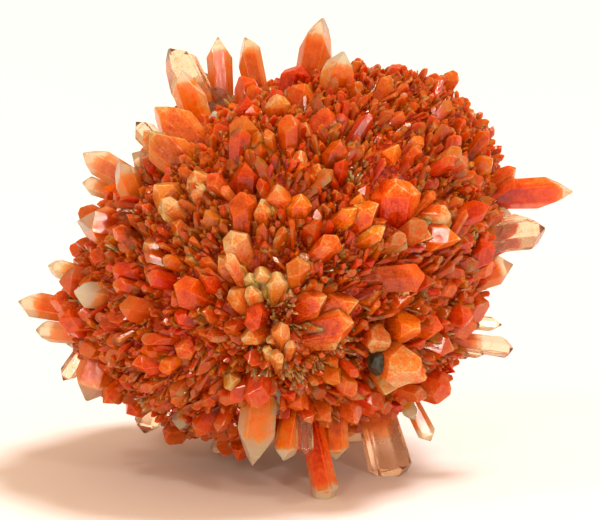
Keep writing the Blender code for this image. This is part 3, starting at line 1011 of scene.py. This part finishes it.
    def material(self) -> bpy.types.Material:
        """Builds the material from the crystal attributes.

        Returns:
            The new material.
        """
        material, shader = fresh_material(self.name)
        form, place, mark, depth, edge = (
            add_node(material, "ShaderNodeAttribute", {"attribute_name": word})
            for word in ("form", "place", "mark", "depth", "edge")
        )
        parts, marks = (
            add_node(material, "ShaderNodeSeparateXYZ", links={"Vector": node.outputs["Vector"]})
            for node in (form, mark)
        )
        own = place.outputs["Vector"]
        zone, tint = parts.outputs["Z"], marks.outputs["X"]
        out = add_node(
            material, "ShaderNodeMath", {"operation": "ABSOLUTE"}, {0: parts.outputs["Y"]}
        )
        end = add_node(
            material, "ShaderNodeMath", {"operation": "MULTIPLY"}, {0: zone, 1: marks.outputs["Z"]}
        )
        cloud = self.noise(material, own, self.cloud_mm)
        mottle = self.noise(material, own, self.mottle_mm)
        level = self.level(material, (
            (end.outputs[0], 0.0, self.tip_full, 0.0, self.tip_gain),
            # darker towards the root: partly its own colour, partly painted shade
            (zone, self.root_zone, 0.0, -self.root_tone_and_shade, 0.0),
            # painted shade in the recesses, by how deep the point lies under the tips
            (depth.outputs["Fac"], *self.painted_recess_shade_mm, 0.0, -self.painted_recess_shade),
            # paler towards the narrow sides: partly the paler rim, partly a painted highlight
            (out.outputs[0], *self.rim_out, 0.0, self.rim_tone_and_highlight),
            # painted highlight on the faces that round the edges off
            (edge.outputs["Fac"], 0.0, 1.0, 0.0, self.painted_edge_highlight),
            (cloud, *self.patchy, -self.cloud_gain, self.cloud_gain),
            (mottle, *self.patchy, -self.mottle_gain, self.mottle_gain),
            (tint, 0.0, 1.0, -self.tint_gain, self.tint_gain),
        ))
        clear = add_node(
            material, "ShaderNodeValToRGB",
            {"stops": list(zip(self.stops, [grey(value) for value in self.clearness]))},
            {"Fac": level},
        )
        glass = add_node(
            material, "ShaderNodeMath", {"operation": "MULTIPLY"},
            {0: clear.outputs["Color"], 1: marks.outputs["Z"]},
        )
        frost = add_node(
            material, "ShaderNodeMapRange",
            {"From Min": self.frost[0], "From Max": self.frost[1]},
            {"Value": self.noise(material, own, self.cloud_mm * self.frost_size)},
        )
        gloss = add_node(
            material, "ShaderNodeMapRange",
            {"To Min": self.smooth, "To Max": self.frosted},
            {"Value": frost.outputs["Result"]},
        )
        link = material.node_tree.links.new
        link(self.body(material, level, tint, marks.outputs["Y"]), shader.inputs["Base Color"])
        link(glass.outputs[0], shader.inputs["Transmission Weight"])
        link(gloss.outputs["Result"], shader.inputs["Roughness"])
        link(self.relief(material, own, frost.outputs["Result"]), shader.inputs["Normal"])
        shader.inputs["IOR"].default_value = self.ior
        shader.inputs["Specular IOR Level"].default_value = self.shine
        shader.inputs["Subsurface Weight"].default_value = self.milk
        shader.inputs["Subsurface Radius"].default_value = self.milk_radius
        shader.inputs["Subsurface Scale"].default_value = self.milk_mm * MM
        if self.absorb_density:
            absorb = add_node(
                material, "ShaderNodeVolumeAbsorption",
                {"Color": linear(self.absorbed), "Density": self.absorb_density},
            )
            output = material.node_tree.nodes["Material Output"]
            link(absorb.outputs["Volume"], output.inputs["Volume"])
        return material


@dataclass(frozen=True)
class GroundMassFinish:
    """The intergrown creedite under the free crystals: dense, sugary and red-brown.

    Its grains are under half a millimetre, and each catches the light in its own way.
    """

    name: str = "Creedite ground mass, intergrown"
    deep: str = "#7A1602"
    middle: str = "#AE3205"
    lit: str = "#CE5C1A"
    grain_mm: float = 0.4
    cloud_mm: float = 2.2
    roughness: float = 0.3
    shine: float = 0.25             # the shader's share of mirroring, 0.5 for all of it

    def material(self) -> bpy.types.Material:
        """Builds the material on object coordinates.

        Returns:
            The new material.
        """
        material, shader = fresh_material(self.name)
        coords = add_node(material, "ShaderNodeTexCoord")
        grain = add_node(
            material, "ShaderNodeTexVoronoi", {"Scale": 1.0 / (self.grain_mm * MM)},
            {"Vector": coords.outputs["Object"]},
        )
        cloud = add_node(
            material, "ShaderNodeTexNoise", {"Scale": 1.0 / (self.cloud_mm * MM), "Detail": 3.0},
            {"Vector": coords.outputs["Object"]},
        )
        chance = add_node(
            material, "ShaderNodeSeparateXYZ", links={"Vector": grain.outputs["Color"]}
        )
        shade = add_node(
            material, "ShaderNodeMath", {"operation": "MULTIPLY"},
            {0: chance.outputs["X"], 1: cloud.outputs["Fac"]},
        )
        stops = (
            (0.05, linear(self.deep)),
            (0.30, linear(self.middle)),
            (0.55, linear(self.lit)),
        )
        colour = add_node(
            material, "ShaderNodeValToRGB", {"stops": stops}, {"Fac": shade.outputs[0]}
        )
        bump = add_node(
            material, "ShaderNodeBump", {"Distance": self.grain_mm * MM},
            {"Height": chance.outputs["Y"]},
        )
        link = material.node_tree.links.new
        link(colour.outputs["Color"], shader.inputs["Base Color"])
        link(bump.outputs["Normal"], shader.inputs["Normal"])
        shader.inputs["Roughness"].default_value = self.roughness
        shader.inputs["Specular IOR Level"].default_value = self.shine
        return material


@dataclass(frozen=True)
class DarkMineralFinish:
    """A broken grain of a dark mineral: greenish black, with brown patches and bright facets."""

    name: str = "Dark mineral, broken"
    dark: str = "#0E100A"
    green: str = "#2E3420"
    brown: str = "#6E4620"
    patch_mm: float = 1.1
    chip_mm: float = 0.2            # how deep the chips in its faces are
    chip_strength: float = 0.5
    roughness: float = 0.28

    def material(self) -> bpy.types.Material:
        """Builds the material on object coordinates.

        Returns:
            The new material.
        """
        material, shader = fresh_material(self.name)
        coords = add_node(material, "ShaderNodeTexCoord")
        patch = add_node(
            material, "ShaderNodeTexNoise",
            {"Scale": 1.0 / (self.patch_mm * MM), "Detail": 4.0, "Roughness": 0.65},
            {"Vector": coords.outputs["Object"]},
        )
        stops = (
            (0.38, linear(self.dark)),
            (0.55, linear(self.green)),
            (0.72, linear(self.brown)),
        )
        colour = add_node(
            material, "ShaderNodeValToRGB", {"stops": stops}, {"Fac": patch.outputs["Fac"]}
        )
        bump = add_node(
            material, "ShaderNodeBump",
            {"Strength": self.chip_strength, "Distance": self.chip_mm * MM},
            {"Height": patch.outputs["Fac"]},
        )
        link = material.node_tree.links.new
        link(colour.outputs["Color"], shader.inputs["Base Color"])
        link(bump.outputs["Normal"], shader.inputs["Normal"])
        shader.inputs["Roughness"].default_value = self.roughness
        return material


@dataclass
class Companions:
    """Lesser crystals that have grown along a larger one, nearly side by side with it."""

    cutter: CrystalCutter
    numbers: tuple[int, int]
    lengths: tuple[float, float] = (0.45, 0.92)
    offset: float = 0.42            # sideways, over the larger one's width
    widths: tuple[float, float] = (0.45, 0.85)
    flatness: tuple[float, float] = (0.6, 0.95)
    slant: tuple[float, float] = (36.0, 62.0)
    spread: float = 12.0            # degrees
    roll: float = 35.0              # degrees to either side
    clear_share: float = 0.8        # of the larger one's clear end

    def add(self, gathering: Gathering, crystal: Crystal, matrix: Matrix, length: float,
            look: Look, sides: int, rounding: float, rng: random.Random) -> None:
        """Adds one crystal's companions.

        Args:
            gathering: Where they go.
            crystal: The larger crystal.
            matrix: Where the larger crystal stands, in millimetres in the frame's axes.
            length: The larger crystal's length.
            look: Its look.
            sides: How many sides they have.
            rounding: Millimetres taken off each edge.
            rng: The random source.
        """
        sunk = self.cutter.ball.root_depth
        for _ in range(rng.randint(*self.numbers)):
            angle = rng.uniform(0.0, math.tau)
            way = Vector((math.cos(angle), math.sin(angle), 0.0))
            offset = Vector((way.x * crystal.thickness, way.y * crystal.width, 0.0)) * self.offset
            size = rng.uniform(*self.widths)
            shown = (length - sunk) * rng.uniform(*self.lengths)
            lesser = Crystal(
                crystal.tip,
                crystal.root,
                crystal.width * size,
                min(crystal.thickness, crystal.width * size) * rng.uniform(*self.flatness),
                0.0,
                (rng.uniform(*self.slant), rng.uniform(*self.slant)),
                crystal.pinch,
            )
            tilt = Matrix.Rotation(
                math.radians(rng.uniform(0.0, self.spread)), 4, Vector((-way.y, way.x, 0.0))
            )
            roll = Matrix.Rotation(math.radians(rng.uniform(-self.roll, self.roll)), 4, "Z")
            seat = matrix @ Matrix.Translation(offset) @ tilt @ roll
            shape = self.cutter.cut(sunk + shown, lesser, sides, rounding)
            clear = min(look.clear, shown) * self.clear_share
            own = Look(rng.random(), look.pale, clear, look.glass)
            gathering.add(Shape.of(shape, sunk + shown, lesser), seat, own)


@dataclass
class StandingCrystals:
    """The crystals that stand out and can be told apart, with lesser ones grown along them.

    Along those at the outline the lesser ones stay short, so that the outline is theirs alone.
    """

    ball: Ball
    cutter: CrystalCutter
    name: str
    sides: Sequence[Side]
    finish: CreediteFinish
    companions: Companions
    edge_round: float = 0.14        # millimetres taken off each edge, which gives it its glint
    glass_share: float = 1.0
    clear_share: float = 1.0
    seed: int = 3

    def build(self) -> bpy.types.Object:
        """Cuts and joins them.

        Returns:
            The piece.
        """
        rng = random.Random(self.seed)
        gathering = Gathering(self.ball)
        for side in self.sides:
            for crystal in STANDING[side]:
                matrix, length = self.cutter.seat(crystal, self.ball.root_depth)
                shape = self.cutter.cut(length, crystal, 6, self.edge_round)
                pale, clear, glass = crystal.habit.value
                clear *= (length - self.ball.root_depth) * self.clear_share
                look = Look(rng.random(), pale, clear, glass * self.glass_share)
                if side is Side.FEET:
                    self.cutter.flatten(shape, matrix)
                else:
                    self.companions.add(
                        gathering, crystal, matrix, length, look, 6, self.edge_round, rng
                    )
                gathering.add(Shape.of(shape, length, crystal), matrix, look)
        return gathering.build(self.name)

    def dress(self, piece: bpy.types.Object) -> None:
        """Gives them their finish."""
        piece.data.materials.append(self.finish.material())


@dataclass
class MiddlingCrystals:
    """The many crystals of middling size that cover the ball, as the solid has them."""

    ball: Ball
    cutter: CrystalCutter
    clearing: Clearing
    palette: Palette
    count: int = 350
    widths: tuple[float, float, float] = (3.0, 4.6, 6.8)
    flatness: tuple[float, float] = (0.50, 0.85)
    tip_reach: tuple[float, float] = (0.91, 1.03)
    lean: float = 0.24
    scatter: float = 0.05
    slant: tuple[float, float] = (36.0, 62.0)
    fine_scale: float = 0.72
    clearance: float = 0.85
    floor_clearance: float = 0.8
    edge_round: float = 0.11
    clear: tuple[float, float] = (0.8, 3.0)
    glass: tuple[float, float] = (0.15, 0.6)
    seed: int = 11

    def crystals(self) -> list[Crystal]:
        """Lays them out, clear of the standing ones.

        Returns:
            The crystals, seen from the front.
        """
        rng = random.Random(self.seed)
        fine_side = Vector(self.ball.fine_side).normalized()
        found = []
        for direction in spiral_directions(self.count, rng, self.scatter):
            width = rng.triangular(self.widths[0], self.widths[2], self.widths[1])
            thickness = width * rng.uniform(*self.flatness)
            reach = self.ball.reach(direction)
            tip_reach = reach * rng.uniform(*self.tip_reach)
            off = stray(rng, self.lean)
            roll = rng.uniform(-90.0, 90.0)
            slants = (rng.uniform(*self.slant), rng.uniform(*self.slant))
            if direction.dot(fine_side) > self.ball.fine_spread:
                width, thickness = width * self.fine_scale, thickness * self.fine_scale
            tip = direction * tip_reach
            axis = self.ball.growth_axis(tip, off)
            root = tip - axis * (self.ball.mass_depth + tip_reach - reach)
            low = self.ball.put(tip).z < self.floor_clearance
            covered = self.clearing.covers(tip, width, self.clearance)
            if not (low or covered or self.clearing.pierces(tip, root, width)):
                found.append(Crystal(tuple(tip), tuple(root), width, thickness, roll, slants))
        return found

    def build(self) -> bpy.types.Object:
        """Cuts and joins them.

        Returns:
            The piece.
        """
        rng = random.Random(self.seed)
        companions = Companions(self.cutter, (0, 3))
        gathering = Gathering(self.ball)
        for crystal in self.crystals():
            matrix, length = self.cutter.seat(crystal, self.ball.root_depth)
            shape = self.cutter.cut(length, crystal, 6, self.edge_round)
            pale = self.palette.pale(Vector(crystal.tip), rng)
            glass = rng.uniform(*self.glass)
            look = Look(rng.random(), pale, rng.uniform(*self.clear), glass)
            gathering.add(Shape.of(shape, length, crystal), matrix, look)
            companions.add(gathering, crystal, matrix, length, look, 6, self.edge_round, rng)
        return gathering.build("middling_crystals")

    def dress(self, piece: bpy.types.Object) -> None:
        """Gives them their finish."""
        finish = CreediteFinish(
            "Creedite, middling crystals",
            warm=("#7C1602", "#A82603", "#CC4004", "#D6641A", "#E29C58"),
            tan=("#742408", "#963E0C", "#C06426", "#CC803C", "#E0B074"),
            body_level=0.43,
            shine=0.4,
            # smaller painted highlights on the rounded edges and the narrow sides
            painted_edge_highlight=0.1,
            tip_gain=0.24,
            rim_tone_and_highlight=0.12,
            cloud_gain=0.16,
            mottle_gain=0.16,
        )
        piece.data.materials.append(finish.material())


@dataclass
class SmallCrystals:
    """Small crystals that fill the room between the larger ones, copied from a few patterns.

    They stand on the ground mass, so that a wider one stands higher, and lean with their
    neighbours.
    """

    name: str
    ball: Ball
    cutter: CrystalCutter
    clearing: Clearing
    palette: Palette
    count: int
    widths: tuple[float, float]
    seed: int
    sides: int = 6
    rounding: float = 0.0           # over the width
    rises: tuple[float, float] = (1.2, 3.6)
    highest: float = 0.985          # share of the ball's reach
    lean: float = 0.28
    sway: float = 0.45
    sway_size: float = 7.0
    slenderness: float = 3.6        # length over width
    upright: float = 0.55           # least cosine between a crystal and straight out of the ball
    scatter: float = 0.04           # how far its place strays from an even spread
    clear: tuple[float, float] = (0.4, 1.3)         # over the width
    glass: tuple[float, float] = (0.2, 0.8)
    pale_share: float = 0.35        # how pale they are, over the larger ones near them
    patterns: int = 24
    flatness: tuple[float, float] = (0.4, 0.85)
    slant: tuple[float, float] = (38.0, 66.0)
    pinch: tuple[float, float] = (40.0, 60.0)

    def pattern_shapes(self, rng: random.Random) -> list[Shape]:
        """Cuts the patterns.

        Args:
            rng: The random source.

        Returns:
            The patterns, one millimetre wide.
        """
        shapes = []
        for _ in range(self.patterns):
            pattern = Crystal(
                (0.0, 0.0, 0.0),
                (0.0, 0.0, 0.0),
                1.0,
                rng.uniform(*self.flatness),
                0.0,
                (rng.uniform(*self.slant), rng.uniform(*self.slant)),
                rng.uniform(*self.pinch),
            )
            shape = self.cutter.cut(self.slenderness, pattern, self.sides, self.rounding)
            shapes.append(Shape.of(shape, self.slenderness, pattern))
        return shapes

    def build(self) -> bpy.types.Object:
        """Places the copies.

        Returns:
            The piece.
        """
        rng = random.Random(self.seed)
        shapes = self.pattern_shapes(rng)
        gathering = Gathering(self.ball)
        for direction in spiral_directions(self.count, rng, self.scatter):
            shape = rng.choice(shapes)
            width = rng.uniform(*self.widths)
            height = self.ball.ground(direction) + width * rng.uniform(*self.rises)
            tip = direction * min(height, self.ball.reach(direction) * self.highest)
            sway = noise.noise_vector(tip / self.sway_size) * self.sway
            axis = self.ball.growth_axis(tip, sway + stray(rng, self.lean))
            if axis.dot(direction) < self.upright:
                axis = (axis + direction).normalized()
            roll = Matrix.Rotation(rng.uniform(0.0, math.tau), 4, "Z")
            look = Look(
                rng.random(),
                self.palette.pale(tip, rng) * self.pale_share,
                width * rng.uniform(*self.clear),
                rng.uniform(*self.glass),
            )
            end = self.ball.put(tip)
            if end.z < width or self.clearing.covers(tip, 0.0, 1.0):
                continue
            way = self.ball.turn(axis)
            turned = way.to_track_quat("Z", "Y").to_matrix().to_4x4()
            root = end - way * (shape.length * width)
            matrix = Matrix.Translation(root) @ turned @ roll @ Matrix.Scale(width, 4)
            gathering.add(shape, matrix, look, width)
        return gathering.build(self.name)

    def dress(self, piece: bpy.types.Object) -> None:
        """Gives them their finish."""
        finish = CreediteFinish(
            f"Creedite, {self.name.replace('_', ' ')}",
            warm=("#761402", "#9C2202", "#C03A04", "#CE5C14", "#E29C5C"),
            tan=("#6E2006", "#8E360A", "#B65A1E", "#C47634", "#DEAC74"),
            body_level=0.41,
            shine=0.4,
            absorb_density=0.0,
            cloud_mm=0.8,
            tip_gain=0.2,
            mottle_gain=0.12,
            # the painted shade in the recesses starts deeper on these
            painted_recess_shade_mm=(3.0, 7.5),
        )
        piece.data.materials.append(finish.material())


@dataclass
class NeedleSprays:
    """Sprays of fine needles, scattered over the ball and thick low in the middle of the front."""

    ball: Ball
    cutter: CrystalCutter
    clearing: Clearing
    scattered: int = 70
    gathered: int = 50
    scatter: float = 0.12           # how far a scattered spray strays from an even spread
    patch: Place = (0.08, -0.36, 0.93)
    patch_spread: float = 0.30
    lean: float = 0.2               # how far a spray strays from the way its neighbours grow
    needles: tuple[int, int] = (6, 12)
    widths: tuple[float, float] = (0.3, 0.6)
    slenderness: float = 6.5        # length over width
    spread: float = 0.55            # how far a needle strays from its spray's own way
    sunk: float = 1.2               # how far the needles meet under the ground's surface, in mm
    highest: float = 0.98
    thickness: float = 0.7          # over the width
    slants: tuple[float, float] = (62.0, 54.0)
    pale: tuple[float, float] = (0.0, 0.45)
    clear: float = 4.0              # over the width
    glass: tuple[float, float] = (0.3, 0.8)
    seed: int = 31

    def directions(self, rng: random.Random) -> Iterator[Vector]:
        """Gives each spray's direction.

        Args:
            rng: The random source.

        Yields:
            The directions of the scattered sprays, then those of the patch.
        """
        yield from spiral_directions(self.scattered, rng, self.scatter)
        for _ in range(self.gathered):
            yield (Vector(self.patch) + stray(rng, self.patch_spread)).normalized()

    def build(self) -> bpy.types.Object:
        """Sets the needles.

        Returns:
            The piece.
        """
        rng = random.Random(self.seed)
        pattern = Crystal(
            (0.0, 0.0, 0.0), (0.0, 0.0, 0.0), 1.0, self.thickness, slants=self.slants
        )
        needle = Shape.of(
            self.cutter.cut(self.slenderness, pattern, 4, 0.0), self.slenderness, pattern
        )
        gathering = Gathering(self.ball)
        for direction in self.directions(rng):
            root = direction * (self.ball.ground(direction) - self.sunk)
            pale = rng.uniform(*self.pale)
            way = self.ball.growth_axis(root, stray(rng, self.lean))
            for _ in range(rng.randint(*self.needles)):
                width = rng.uniform(*self.widths)
                axis = (way + stray(rng, self.spread)).normalized()
                tip = root + axis * (self.slenderness * width)
                roll = rng.uniform(0.0, math.tau)
                look = Look(rng.random(), pale, width * self.clear, rng.uniform(*self.glass))
                too_high = tip.length > self.ball.reach(tip.normalized()) * self.highest
                low = self.ball.put(tip).z < width
                if too_high or low or self.clearing.covers(tip, 0.0, 1.0):
                    continue
                turned = self.ball.turn(axis).to_track_quat("Z", "Y").to_matrix().to_4x4()
                matrix = (
                    Matrix.Translation(self.ball.put(root)) @ turned
                    @ Matrix.Rotation(roll, 4, "Z") @ Matrix.Scale(width, 4)
                )
                gathering.add(needle, matrix, look, width)
        return gathering.build("needle_sprays")

    def dress(self, piece: bpy.types.Object) -> None:
        """Gives them their finish."""
        finish = CreediteFinish(
            "Creedite, needle sprays",
            warm=("#741402", "#9C2402", "#C44006", "#D4681C", "#EAB47C"),
            tan=("#6E2206", "#8E3A0A", "#B86426", "#CC8440", "#E8BC84"),
            absorb_density=0.0,
            cloud_mm=0.8,
            # darker roots, partly painted shade, and painted shade in the recesses
            root_tone_and_shade=0.3,
            painted_recess_shade=0.3,
        )
        piece.data.materials.append(finish.material())


@dataclass
class GroundMass:
    """The dense mass under the free crystals."""

    ball: Ball
    fineness: int = 6
    roughness: float = 0.5
    seed: int = 5

    def build(self) -> bpy.types.Object:
        """Shapes the mass from an icosphere.

        Returns:
            The piece.
        """
        rng = random.Random(self.seed)
        shape = bmesh.new()
        bmesh.ops.create_icosphere(shape, subdivisions=self.fineness, radius=1.0)
        for vert in shape.verts:
            direction = vert.co.normalized()
            distance = self.ball.ground(direction) - rng.uniform(0.0, self.roughness)
            vert.co = self.ball.put(direction * distance) * MM
        bmesh.ops.recalc_face_normals(shape, faces=shape.faces[:])
        return link_shape("ground_mass", shape)

    def dress(self, piece: bpy.types.Object) -> None:
        """Gives it its finish."""
        piece.data.materials.append(GroundMassFinish().material())


@dataclass
class DarkGrain:
    """The grain of a dark mineral in its pocket."""

    cuts: int = 16
    broken: tuple[float, float] = (0.78, 0.94)      # where a face lies, over the half size
    seed: int = 8

    def build(self) -> bpy.types.Object:
        """Breaks the grain out of a rounded lump that fits the box of its solid.

        Returns:
            The piece.
        """
        rng = random.Random(self.seed)
        low, high = (Vector(corner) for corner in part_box(GRAIN_NODE))
        centre, half = (low + high) / 2.0, (high - low) / 2.0
        shape = bmesh.new()
        bmesh.ops.create_icosphere(shape, subdivisions=3, radius=1.0)
        for _ in range(self.cuts):
            normal = Vector([rng.gauss(0.0, 1.0) for _ in range(3)]).normalized()
            CrystalCutter.slice_off(shape, normal * rng.uniform(*self.broken), normal)
        for vert in shape.verts:
            vert.co = centre + Vector([vert.co[i] * half[i] for i in range(3)])
        bmesh.ops.recalc_face_normals(shape, faces=shape.faces[:])
        return link_shape("dark_grain", shape)

    def dress(self, piece: bpy.types.Object) -> None:
        """Gives it its finish."""
        piece.data.materials.append(DarkMineralFinish().material())


@dataclass
class Studio:
    """The pale floor, the soft lights and the camera."""

    ball: Ball
    image_width: int = 600
    image_height: int = 520
    mm_per_pixel: float = 0.162
    middle_pixel: tuple[float, float] = (285.0, 262.0)
    camera_distance: float = 900.0
    sensor: float = 36.0
    floor_size: float = 8.0
    key_way: Place = (0.36, 0.15, 0.92)
    key_strength: float = 2.8
    key_angle: float = math.radians(16.0)
    key_mirrored: bool = False      # a mirrored key would bleach whole facets
    sky: Place = (1.0, 0.67, 0.42)
    sky_strength: float = 0.74
    glint_places: tuple[Place, ...] = (
        (-0.30, -0.80, 0.45),
        (0.45, -0.70, 0.55),
        (-0.55, -0.25, 0.85),
        (0.05, -0.95, 0.22),
    )
    glint_size: float = 0.10
    glint_power: float = 1.1

    def floor(self) -> None:
        """Lays the pale floor."""
        shape = bmesh.new()
        bmesh.ops.create_grid(shape, x_segments=1, y_segments=1, size=self.floor_size / 2.0)
        built = link_shape("floor", shape)
        # Matt paper is pale and even, and mirrors nothing.
        material, shader = fresh_material("Paper floor, matt")
        shader.inputs["Base Color"].default_value = linear("#F6EEEA")
        shader.inputs["Roughness"].default_value = 0.8
        built.data.materials.append(material)
        built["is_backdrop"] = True

    def lamp(self, name: str, place: Place, size: float, power: float, colour: str) -> None:
        """Hangs one square lamp that faces the ball.

        Args:
            name: The lamp's name.
            place: Where it hangs, in metres.
            size: Its side in metres.
            power: Its power in watts.
            colour: Its sRGB hex colour.
        """
        light = bpy.data.lights.new(name, "AREA")
        light.size = size
        light.energy = power
        light.color = linear(colour)[:3]
        lamp = bpy.data.objects.new(name, light)
        lamp.location = place
        aim = self.ball.middle * MM - Vector(place)
        lamp.rotation_euler = aim.to_track_quat("-Z", "Y").to_euler()
        bpy.context.scene.collection.objects.link(lamp)

    def lights(self) -> None:
        """Sets the sky, the high key light and the small lamps that give the glints."""
        world = bpy.data.worlds.new("studio")
        world.use_nodes = True
        background = world.node_tree.nodes["Background"]
        background.inputs["Color"].default_value = (*self.sky, 1.0)
        background.inputs["Strength"].default_value = self.sky_strength
        bpy.context.scene.world = world
        key = bpy.data.lights.new("key", "SUN")
        key.energy = self.key_strength
        key.angle = self.key_angle
        lamp = bpy.data.objects.new("key", key)
        lamp.rotation_euler = (-Vector(self.key_way)).to_track_quat("-Z", "Y").to_euler()
        lamp.visible_glossy = self.key_mirrored
        bpy.context.scene.collection.objects.link(lamp)
        for number, place in enumerate(self.glint_places):
            self.lamp(f"glint_{number}", place, self.glint_size, self.glint_power, "#FFF0E0")
        bpy.context.scene.view_settings.view_transform = "Standard"

    def camera(self) -> None:
        """Sets the camera at the photograph's angle."""
        picture = self.image_width * self.mm_per_pixel
        off = (
            (self.image_width / 2.0 - self.middle_pixel[0]) * self.mm_per_pixel,
            (self.middle_pixel[1] - self.image_height / 2.0) * self.mm_per_pixel,
            self.camera_distance,
        )
        data = bpy.data.cameras.new("camera")
        data.sensor_width = self.sensor
        data.lens = self.sensor * self.camera_distance / picture
        data.clip_start, data.clip_end = 0.01, 20.0
        camera = bpy.data.objects.new("camera", data)
        camera.location = self.ball.put(off) * MM
        camera.rotation_euler = (math.pi / 2.0 - self.ball.view_tilt, 0.0, 0.0)
        bpy.context.scene.collection.objects.link(camera)
        bpy.context.scene.camera = camera


def corners(box: Sequence[Vector]) -> list[list[float]]:
    """Turns a box's two corners into plain lists of numbers."""
    return [[float(value) for value in corner] for corner in box]


def main() -> None:
    """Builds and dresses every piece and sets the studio."""
    logging.basicConfig(level=logging.INFO, format="%(message)s")
    noise.seed_set(SWAY_SEED)
    solid_box = corners(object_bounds())
    ball = Ball.in_frame()
    cutter = CrystalCutter(ball)
    clearing = Clearing(all_standing())
    palette = Palette()
    common = (ball, cutter, clearing, palette)
    makers = [
        GroundMass(ball),
        StandingCrystals(
            ball, cutter, "outline_crystals",
            (Side.TOP, Side.RIGHT, Side.LEFT, Side.BOTTOM, Side.FEET),
            # a raised body level paints these brighter than the rest: a painted glow of crystals
            # lit from behind at the outline
            CreediteFinish("Creedite, crystals at the outline", body_level=0.52),
            Companions(cutter, (1, 3), (0.15, 0.5)),
        ),
        StandingCrystals(
            ball, cutter, "front_crystals", (Side.FRONT,),
            CreediteFinish(
                "Creedite, crystals on the front",
                warm=("#8C1A02", "#BC2E04", "#E2560C", "#E6862E", "#F2C488"),
                tan=("#762408", "#9C4412", "#CC7634", "#D89450", "#EEC890"),
                shine=0.4,
                tip_gain=0.36,
                # a smaller painted highlight on the rounded edges
                painted_edge_highlight=0.12,
                cloud_gain=0.15,
                mottle_gain=0.18,
            ),
            Companions(cutter, (1, 4)),
            glass_share=0.55,
            clear_share=0.8,
            seed=4,
        ),
        MiddlingCrystals(*common),
        SmallCrystals(
            "lesser_crystals", *common, 1250, (1.6, 3.2), 20, rounding=0.035, rises=(0.3, 0.9)
        ),
        SmallCrystals(
            "small_crystals", *common, 5200, (0.8, 1.7), 21, rises=(0.5, 1.6), lean=0.45
        ),
        SmallCrystals(
            "fine_crystals", *common, 12000, (0.35, 0.75), 22, sides=4, rises=(0.4, 1.8), lean=0.7
        ),
        NeedleSprays(ball, cutter, clearing),
    ]
    for maker in makers:
        piece = maker.build()
        maker.dress(piece)
        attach(piece, "root")
        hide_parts(CLUSTER_NODE)
        LOG.info("%s: %d faces", piece.name, len(piece.data.polygons))
    grain = DarkGrain()
    piece = grain.build()
    grain.dress(piece)
    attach(piece, "root")
    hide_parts(GRAIN_NODE)
    LOG.info("%s: %d faces", piece.name, len(piece.data.polygons))
    studio = Studio(ball)
    studio.floor()
    studio.lights()
    studio.camera()
    {"solid": solid_box, "visual": corners(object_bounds())}


if __name__ == "__main__":
    main()
